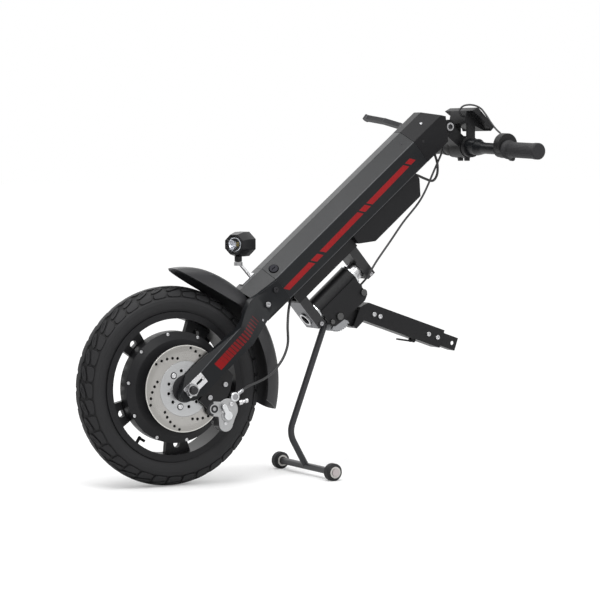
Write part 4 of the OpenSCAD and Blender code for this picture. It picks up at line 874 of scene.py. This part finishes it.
# %% Dress the solids
dress(beam_paint, 1.3, "beam_shell")
dress(leg_paint, 1.2, "fork_leg_left", "fork_leg_right")
dress(cap_plastic, 0.9, "beam_upper_cap")
dress(frame_paint, 0.7, "fork_crown")
dress(battery_wrap, 1.0, "battery_pack")
dress(key_metal, 0.3, "key_switch")
dress(rail_paint, 0.7, "mount_rail")
dress(case_coat, 1.2, "controller_case")
dress(clamp_alloy, 0.8, "head_clamps")
dress(steel, 0.4, "steerer")
dress(bolt_zinc, 0.4, "frame_bolts")
dress(axle_steel, 1.2, "axle")
dress(nut_zinc, 0.5, "axle_nuts")
dress(engraved, 0.5, "torque_plates")
dress(copper_windings, 0, "motor_stator")
dress(bracket_coat, 0.8, "caliper_bracket", "steering_bracket", "stem")
dress(pad_compound, 0.4, "inner_pad", "outer_pad")
dress(chrome, 0.4, "lamp_bracket")
dress(valve_rubber, 0.3, "valve_stem")
dress(wheel_paint, 1.0, "wheel_rim")
dress(wheel_paint, 0.5, "motor_cover_left", "motor_cover_right")
dress(magnet_nickel, 0.3, "magnet_ring")
dress(steel, 0.3, "wheel_bearings")
dress(disc_steel, 0.25, "brake_disc")
dress(carrier_alloy, 0.4, "disc_carrier")
dress(cup_alloy, 0.5, "head_bearings", "caliper_arm")
dress(dark_zinc, 0.6, "bracket_bolts")
dress(bracket_coat, 0.9, "arm_sleeve")
dress(grey_cast, 0.5, "index_plates")
dress(rail_paint, 0.8, "arm_tube")
dress(black_oxide, 0.5, "arm_latch")
dress(stand_paint, 0.5, "stand_leg")
dress(roller_rubber, 0.5, "roller_left", "roller_right")
dress(frame_paint, 0.4, "handlebar")
dress(grip_rubber, 0.4, "grip_left", "grip_right")
dress(housing_plastic, 0.8, "throttle_housing", "throttle_paddle", "display_housing", "lever_perch")
dress(black_oxide, 0.9, "brake_lever")
dress(screen_glass, 0.2, "display_screen")
dress(lamp_plastic, 0.8, "lamp_housing")
print("dressed", sum(len(node.modifiers) > 0 for node in nodes.values()), "of", len(nodes), "nodes")

# %% [markdown]
# Round pieces are turned: a profile, a list of radii and ways along an axis, is carried round that axis. A Screw
# modifier could do it too, but a lathe of our own joins the first ring to the last, so there is no seam, and takes
# any axis.

# %% Lathe


def lathe(name, profile, centre, finish, segments, axis=RIGHT):
    """Turns (radius, way along the axis) in millimetres about an axis through the centre."""
    turn = axis.normalized().rotation_difference(Vector((0, 0, 1))).inverted().to_matrix()
    verts, faces = [], []
    count = len(profile)
    for k in range(segments):
        angle = 2 * math.pi * k / segments
        for r, along in profile:
            verts.append(centre + MM * (turn @ Vector((r * math.cos(angle), r * math.sin(angle), along))))
    for k in range(segments):
        for i in range(count):
            a, b = k * count + i, k * count + (i + 1) % count
            c, d = (k + 1) % segments * count + (i + 1) % count, (k + 1) % segments * count + i
            faces.append((a, d, c, b))
    made = new_piece(name, verts, faces, finish)
    shell = bmesh.new()
    shell.from_mesh(made.data)
    bmesh.ops.remove_doubles(shell, verts=shell.verts, dist=1e-7)
    bmesh.ops.recalc_face_normals(shell, faces=shell.faces)
    shell.to_mesh(made.data)
    shell.free()
    return made


def soft_edges(piece, degrees=35):
    """Smooth shading, with a crease where faces meet at more than the angle."""
    piece.data.shade_smooth()
    piece.data.set_sharp_from_angle(angle=math.radians(degrees))


print("lathe", lathe.__doc__)

# %% [markdown]
# The tyre is a carcass and a tread. The carcass is a round section turned about the axle, with a groove floor a
# little below the tread and three thin ribs on each sidewall. Rubber is not quite black. It is dark grey and dull,
# and the floor of its grooves is darker, because little light gets between the blocks. The groove is found by the
# distance from the middle of the tyre's round section.

# %% Tyre carcass
SECTION_R, TYRE_MID, TYRE_R = 30, 155, 185
GROOVE_R, SHOULDER, RIBS, INSIDE_R = 27.4, 64, (86, 112, 120), 24
tyre_rubber = moulded("tyre_rubber", (0.0145, 0.0145, 0.0155), 0.58, 700, 0.3)
tread_r, tread_y = axle_place(tyre_rubber)[:2]
in_section = ((tread_r - TYRE_MID) * (tread_r - TYRE_MID) + tread_y * tread_y).root()
groove = (1.0 - in_section.fade(28.0, 29.2)) * tread_r.fade(160, 166)
tyre_rubber.over(groove * (tyre_rubber.noise(16, 4) * 0.3 + 0.7), rgba(0.005, 0.005, 0.0055))


def carcass_radius(deg):
    side = abs(deg)
    wall = GROOVE_R if side < SHOULDER else GROOVE_R + 2.1 * min((side - SHOULDER) / 10, 1)
    return wall + sum(0.5 * max(0, 1 - abs(side - at) / 2.2) for at in RIBS)


def in_tyre(r, deg):
    return TYRE_MID + r * math.cos(math.radians(deg)), r * math.sin(math.radians(deg))


carcass = [in_tyre(carcass_radius(d), d) for d in np.linspace(-131, 131, 105)]
carcass += [in_tyre(INSIDE_R, d) for d in np.linspace(145, -145, 41)]
tyre = lathe("tyre_carcass", carcass, AXLE, tyre_rubber, 144)
soft_edges(tyre, 40)
print("tyre", len(tyre.data.polygons), "faces")

# %% [markdown]
# Each block of the tread is drawn flat, in millimetres round and across the tyre, and then wrapped: its foot below
# the groove floor, its top on the tyre's own round, with a chamfer between.

# %% Tread blocks
FOOT, CHAMFER, TOP, SUNK = 26.9, 29.5, 30, 29.1


def wrap(t, s, height):
    """A point of the tread: t round the tyre, s across it, height from the middle of the section."""
    across, around = s / SECTION_R, t / TYRE_R
    r = TYRE_MID + height * math.cos(across)
    return AXLE + MM * Vector((r * math.cos(around), height * math.sin(across), r * math.sin(around)))


def fine_outline(points, step=3.0):
    made = []
    for p, q in zip(points, points[1:] + points[:1]):
        parts = max(1, round(math.dist(p, q) / step))
        made += [(p[0] + (q[0] - p[0]) * k / parts, p[1] + (q[1] - p[1]) * k / parts) for k in range(parts)]
    return made


def block(outline, verts, faces, sunk=None):
    """A tread block with a chamfered top, and a sunk middle where an oval is given."""
    mid = [sum(p[i] for p in outline) / len(outline) for i in (0, 1)]
    count = len(outline)
    layers = [(1.04, FOOT), (1, CHAMFER), (0.94, TOP)]
    if sunk:
        layers += [(sunk, TOP), (sunk * 0.85, SUNK)]
    start = len(verts)
    for share, height in layers:
        verts += [wrap(mid[0] + (p[0] - mid[0]) * share, mid[1] + (p[1] - mid[1]) * share, height) for p in outline]
    verts.append(wrap(*mid, layers[-1][1]))
    for i in range(len(layers) - 1):
        for k in range(count):
            a, b = start + i * count + k, start + i * count + (k + 1) % count
            faces.append((a, b, b + count, a + count))
    last = start + (len(layers) - 1) * count
    faces += [(last + k, last + (k + 1) % count, len(verts) - 1) for k in range(count)]


print("a tread block stands", round(TOP - GROOVE_R, 1), "mm above the groove")

# %% [markdown]
# The tread has one pitch that repeats 36 times: a zig-zag rib in the middle, and on each side a slanted leaf with a
# sunk oval and a square shoulder block. The left side is half a pitch behind the right. The ring of copies makes the
# rest, and joins the rib where one pitch meets the next.

# %% One pitch of the tread
PITCHES = 36
PITCH = 2 * math.pi * TYRE_R / PITCHES


def tread_pitch():
    leaf = [(16 + 13.5 * math.cos(u) - 4.0 * math.sin(u) * 0.55,
             14.7 + 5.4 * math.cos(u) + 4.0 * math.sin(u)) for u in np.linspace(0, 2 * math.pi, 20, endpoint=False)]
    shoulder = fine_outline([(2, 19.4), (10, 21.2), (18, 23.2), (28.5, 26.4), (30, 30), (29, 33.5), (22, 35),
                             (10, 35), (4, 33.6), (1.5, 28)])
    verts, faces = [], []
    for side, shift in ((1, 0), (-1, PITCH / 2)):
        for outline, sunk in ((leaf, 0.45), (shoulder, None)):
            begin = len(faces)
            block([(t + shift, side * s) for t, s in outline], verts, faces, sunk)
            if side > 0:
                faces[begin:] = [tuple(reversed(f)) for f in faces[begin:]]
    steps = [0, 6, 12, 18, 23, 26, 29, PITCH]
    widths = [5.0, 5.8, 6.6, 7.4, 8.0, 8.2, 5.6, 5.0]
    rows = sorted(set(steps + [(t + PITCH / 2) % PITCH for t in steps[:-1]]))
    wide = np.interp(rows, steps, widths)
    shifted = np.interp([(t + PITCH / 2) % PITCH for t in rows], steps, widths)
    start = len(verts)
    for t, right, left in zip(rows, wide, shifted):
        for s, height in ((-left - 0.8, FOOT), (-left, CHAMFER), (-left + 0.6, TOP), (0, TOP), (right - 0.6, TOP),
                          (right, CHAMFER), (right + 0.8, FOOT)):
            verts.append(wrap(t, s, height))
    for i in range(len(rows) - 1):
        for k in range(6):
            a = start + i * 7 + k
            faces.append((a, a + 1, a + 8, a + 7))
    return verts, faces


tread = new_piece("tyre_tread", *tread_pitch(), tyre_rubber, smooth=False)
ring.use(tread, Count=PITCHES, Centre=AXLE, Axis=(0, -1, 0), Finish=tyre_rubber.material)
settle(tread)
soft_edges(tread, 25)
for piece in (tyre, tread):
    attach(piece, "wheel")
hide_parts("tyre")

# %% [markdown]
# The mudguard is one moulded shell. Its crown is nearly flat and its skirts roll down ever faster, which a power of
# the distance from the middle describes. It follows the tyre and then curls down to its nose, about a nearer centre.
# The tail is cut on a slant. A section swept along a curve would make it too, but two arcs in a formula take the
# solid's own measures.

# %% Mudguard
CROWN, CURL, SKIRT, HALF, ROLL = 222, 133, 36, 40, 3.5
TAIL, TAIL_SLANT = math.radians(-14), 20
CURL_FROM = math.radians(70)
CURL_CENTRE = AXLE + MM * (CROWN - CURL) * Vector((math.cos(CURL_FROM), 0, math.sin(CURL_FROM)))
NOSE_END = math.radians(101)


def cut_back(r, tip, slope):
    """How far, as an angle, a slanted cut lies back from the end at a radius."""
    back = 0.0
    for _ in range(8):
        back = math.asin((tip + 1 - r * math.cos(back)) * math.tan(math.radians(slope)) / r)
    return back


def mudguard_shell():
    across = [math.sin(math.pi / 2 * u) for u in np.linspace(-1, 1, 41)]
    verts = []
    for u in across:
        drop = SKIRT * abs(u) ** ROLL
        low = TAIL + cut_back(CROWN - drop, CROWN, TAIL_SLANT)
        turns = [(AXLE, CROWN - drop, angle) for angle in np.linspace(low, CURL_FROM, 46)[:-1]]
        turns += [(CURL_CENTRE, CURL - drop, angle) for angle in np.linspace(CURL_FROM, NOSE_END, 24)]
        rows = len(turns)
        verts += [centre + MM * Vector((r * math.cos(angle), HALF * u, r * math.sin(angle)))
                  for centre, r, angle in turns]
    faces = [(i * rows + k, (i + 1) * rows + k, (i + 1) * rows + k + 1, i * rows + k + 1)
             for i in range(len(across) - 1) for k in range(rows - 1)]
    return verts, [tuple(reversed(f)) for f in faces]


mudguard = new_piece("mudguard_shell", *mudguard_shell(), guard_plastic)
print("mudguard", len(mudguard.data.polygons), "faces")

# %% [markdown]
# A straight line that falls back from the nose trims the skirts: two planes split the faces, and those between them
# go. Solidify then gives the shell the wall of the real moulding, and a bevel rounds the cut.

# %% Trim and wall of the mudguard
NOSE = CURL_CENTRE + MM * (CURL + 1) * Vector((math.cos(NOSE_END), 0, math.sin(NOSE_END)))
FALL, TRIM_LENGTH = math.radians(29), 150 * MM


def trim_nose(piece):
    """Takes off the skirts under a line that falls back from the nose, as far as the fork legs."""
    up, back = Vector((math.sin(FALL), 0, math.cos(FALL))), Vector((math.cos(FALL), 0, -math.sin(FALL)))
    shell = bmesh.new()
    shell.from_mesh(piece.data)
    for place, way in ((NOSE, up), (NOSE + TRIM_LENGTH * back, back)):
        bmesh.ops.bisect_plane(shell, geom=shell.verts[:] + shell.edges[:] + shell.faces[:], dist=1e-6,
                               plane_co=place, plane_no=way)
    middles = [(face, face.calc_center_median() - NOSE) for face in shell.faces]
    under = [face for face, middle in middles if middle.dot(up) < 0 and middle.dot(back) < TRIM_LENGTH]
    bmesh.ops.delete(shell, geom=under, context="FACES")
    shell.to_mesh(piece.data)
    shell.free()


trim_nose(mudguard)
modify(mudguard, "wall", "SOLIDIFY", thickness=2.5 * MM, offset=-1)
modify(mudguard, "lip", "BEVEL", width=0.8 * MM, segments=3, limit_method="ANGLE", angle_limit=CREASE)
settle(mudguard)
soft_edges(mudguard, 60)
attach(mudguard, "frame")
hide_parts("mudguard")

# %% [markdown]
# Screws stand for the plain studs of the solids: ten round each motor cover, three on the brake disc's carrier, and
# four on each side of the docking arm.

# %% Screws of the wheel and the arm
COVER_SCREWS = [(r, 65 + 36 * k, side) for k in range(10) for r, side in ((99.5, -1), (77.5, 1))]
cover_places = [(round_axle(r, deg, side * 33), side * RIGHT, 3.2 * MM, 3 * MM) for r, deg, side in COVER_SCREWS]
carrier_places = [(round_axle(r, deg, -67), LEFT, 4.6 * MM, 2 * MM) for r, deg in CARRIER_SCREWS]
wheel_heads = screws("wheel_screw_heads", zinc, cover_places + carrier_places)
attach(wheel_heads, "wheel")
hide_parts("wheel_screws")

ARM = on_beam(345.5, 0, -136)
DIP = math.radians(19)
arm_along = Vector((math.cos(DIP), 0, -math.sin(DIP)))
arm_up = Vector((math.sin(DIP), 0, math.cos(DIP)))
arm_places = [(ARM + MM * (x * arm_along + 27.3 * arm_up + side * 17 * RIGHT), side * RIGHT, 4.5 * MM, 3 * MM)
              for x in (77, 91, 209, 231) for side in (-1, 1)]
arm_heads = screws("arm_screw_heads", zinc, arm_places)
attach(arm_heads, "arm")
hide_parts("arm_bolts")

# %% [markdown]
# A few more screws hold the cap, the beam and the legs, and the solids leave them out. Each lies flat on its panel,
# so it needs the way that panel faces.

# %% Screws of the beam and the legs
LEG_SIDE = math.radians(27.7)


def panel_face(side):
    """The way the slanted panel of the beam faces, on the left (-1) or the right (1)."""
    return side * 0.678 * RIGHT + 0.735 * OUT


trim_places = [(on_beam(722.2, side * 24.9, 28.7), panel_face(side), 2.7 * MM, 1.2 * MM) for side in (-1, 1)]
trim_places += [(on_beam(203, side * 61.0, -14.8), side * math.cos(LEG_SIDE) * RIGHT + math.sin(LEG_SIDE) * ALONG,
                 2.6 * MM, 1.2 * MM) for side in (-1, 1)]
trim_heads = screws("trim_screw_heads", hose_steel, trim_places)
dark_places = [(on_beam(661.8, side * 25.2, 28.4), panel_face(side), 2.6 * MM, 0.8 * MM) for side in (-1, 1)]
dark_places += [(on_beam(697.8, side * 37.8, 4.4), side * RIGHT, 2.6 * MM, 0.7 * MM) for side in (-1, 1)]
dark_heads = screws("dark_screw_heads", black_oxide, dark_places)
for piece, name in ((trim_heads, "steel"), (dark_heads, "hardware_black")):
    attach(piece, "frame")

# %% [markdown]
# The caliper is a casting. Casting rounds every corner, so the solid is copied, its triangles are joined, and it is
# rebuilt from small cubes and relaxed, as a sculptor would soften clay. The slot for the disc stays open, and the
# round pocket of the pads is opened again to its full width, so that they slide in it.

# %% Brake caliper
caliper = add_object("caliper_casting", nodes["caliper_body"].data.copy())
caliper.data.materials.clear()
caliper.data.materials.append(caliper_alloy.material)
joined = bmesh.new()
joined.from_mesh(caliper.data)
bmesh.ops.remove_doubles(joined, verts=joined.verts, dist=JOIN)
joined.to_mesh(caliper.data)
joined.free()
modify(caliper, "rebuild", "REMESH", mode="VOXEL", voxel_size=0.75 * MM)
modify(caliper, "relax", "SMOOTH", factor=0.5, iterations=14)
modify(caliper, "thin_out", "DECIMATE", ratio=0.35)
settle(caliper)
PAD = on_caliper(69, 0, 0)
POCKET_R, POCKET_FROM_R = 10.6 * MM, 8.2 * MM
POCKET_FROM, POCKET_TO = 59.9 * MM, 71.35 * MM
for corner in caliper.data.vertices:
    out = Vector((corner.co.x - PAD.x, 0, corner.co.z - PAD.z))
    if POCKET_FROM < -corner.co.y < POCKET_TO and POCKET_FROM_R < out.length < POCKET_R:
        corner.co += out * (POCKET_R / out.length - 1)
caliper.data.shade_smooth()
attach(caliper, "frame")
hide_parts("caliper_body")

# %% [markdown]
# On the caliper's face sit a black bush with a raised edge, where the bracket holds it, and two socket screws that
# close its halves. Where the hose comes in there are a round boss and a bleed bolt with a waist.

# %% Bush, boss and bolts of the caliper
bush = lathe("caliper_bush", [(0, 0), (3.2, 0), (3.4, 0.5), (6.6, 0.6), (7.6, 0.2), (7.8, -0.6), (0, -0.6)],
             on_caliper(*BUSH, 77.7), black_oxide, 40, axis=LEFT)
soft_edges(bush)
BOSS = AXLE + MM * Vector((97.2, -79, -18.9))
boss_metal = turned("boss_metal", (0.3, 0.3, 0.31), 0.3, BOSS)
two_tone(boss_metal, axle_place(boss_metal, BOSS)[0] > 5.7, (0.62, 0.63, 0.64), 0.3, 1.0)
boss = lathe("caliper_boss", [(0, 0), (5.5, 0), (5.8, 0.9), (8.0, 0.9), (8.7, 0.2), (8.7, -9), (0, -9)], BOSS,
             boss_metal, 40, axis=LEFT)
soft_edges(boss)
bleed = lathe("bleed_bolt", [(0, 0), (5.0, 0), (5.0, 7), (3.2, 8), (3.2, 13), (4.6, 13.6), (4.6, 18.6), (3.8, 19.4),
                             (0, 19.4)], AXLE + MM * Vector((105.5, -76, -30.4)), chrome, 28,
              axis=Vector((20.5, 0, 4.2)))
soft_edges(bleed)
caliper_heads = screws("caliper_screw_heads", zinc, [(on_caliper(92, 22, 77.5), LEFT, 4.0 * MM, 2.6 * MM),
                                                     (on_caliper(101, -14, 77.5), LEFT, 3.4 * MM, 2.2 * MM)])
for piece, name in ((bush, "hardware_black"), (boss, "caliper_silver"), (bleed, "bright_chrome"),
                    (caliper_heads, "steel")):
    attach(piece, "frame")
    print(piece.name, len(piece.data.polygons), "faces")

# %% [markdown]
# The lamp looks bright because of what is behind its lens: a polished bowl and a small yellow chip on a base. The
# bowl follows the cone of the housing, and the lens is clear glass, so the bowl shows through it. A thin black rim
# covers the seam between the lens and the housing. A lens that only glows would look flat.

# %% Lamp
LAMP_TURN = math.radians(35)
LAMP_OUT = Vector((-math.cos(LAMP_TURN), -math.sin(LAMP_TURN), 0))
LAMP = on_beam(257, 0, 79) + MM * Vector((0, 0, 33))
bowl_chrome = cast("bowl_chrome", (0.85, 0.85, 0.86), 0.06)
inner = [(6 + 8 * (x + 21.6) / 40 - 0.3, x) for x in np.linspace(-20.8, 13.9, 14)]
curved = [(r * (0.35 + 0.65 * math.sqrt(k / 13)), x) for k, (r, x) in enumerate(inner)]
bowl = lathe("lamp_bowl", curved + [(r - 0.9, x + 0.2) for r, x in reversed(curved)], LAMP, bowl_chrome, 48,
             axis=LAMP_OUT)
soft_edges(bowl)
chip_yellow = Finish("chip_yellow", (0.75, 0.55, 0.1), 0.4)
chip_yellow.set("Base Color", chip_yellow.mix(chip_yellow.noise(2000, 2), rgba(0.7, 0.5, 0.08),
                                              rgba(0.8, 0.62, 0.16)))
chip = lathe("lamp_chip", [(0, -14), (2.2, -14), (2.2, -12.4), (1.9, -12.0), (1.2, -11.0), (0, -10.7)],
             LAMP, chip_yellow, 24, axis=LAMP_OUT)
lens_glass = Finish("lens_glass", (0.95, 0.97, 1.0), 0.03, Transmission_Weight=1.0, IOR=1.45)
lens_glass.bump(lens_glass.noise(300, 1), 0.05, 0.0002)
dress(lens_glass, 0.3, "lamp_lens")
rim = lathe("lamp_rim", [(16.2, 17.5), (18.3, 17.5), (18.4, 18.2), (17.6, 18.4), (16.0, 18.2)], LAMP, black_oxide,
            64, axis=LAMP_OUT)
soft_edges(rim)
for piece, name in ((bowl, "bright_chrome"), (chip, "lens_clear"), (rim, "hardware_black")):
    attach(piece, "lamp")
    print(piece.name, len(piece.data.polygons), "faces")

# %% [markdown]
# A hose does not just vanish into a casting: a crimped collar ends it. The collar is a short tube with swelling rings
# that follows the hose.

# %% Collar of the hose
COLLAR_FROM, COLLAR_TO, COLLAR_R = 0.87, 0.97, 3.9
path = smooth_route([on_beam(*p) for p in HOSE], 6)
first, last = round(COLLAR_FROM * (len(path) - 1)), round(COLLAR_TO * (len(path) - 1))
spine = smooth_route(path[first:last + 1], 3)
count = len(spine) - 1


def collar_radius(k):
    """Narrow at both ends, then swelling, with each third ring a little lower."""
    if k in (0, count):
        return MM * COLLAR_R * 0.8
    swell = math.sin(math.pi * min(1, 4 * k / count) / 2)
    return MM * COLLAR_R * (0.86 + 0.14 * swell * (1 if k % 3 else 0.9))


hose_collar = tube("hose_collar", spine, [collar_radius(k) for k in range(count + 1)], hose_steel, 20)
soft_edges(hose_collar)
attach(hose_collar, "frame")
print("collar", round(route_length(spine), 4), "m long")

# %% [markdown]
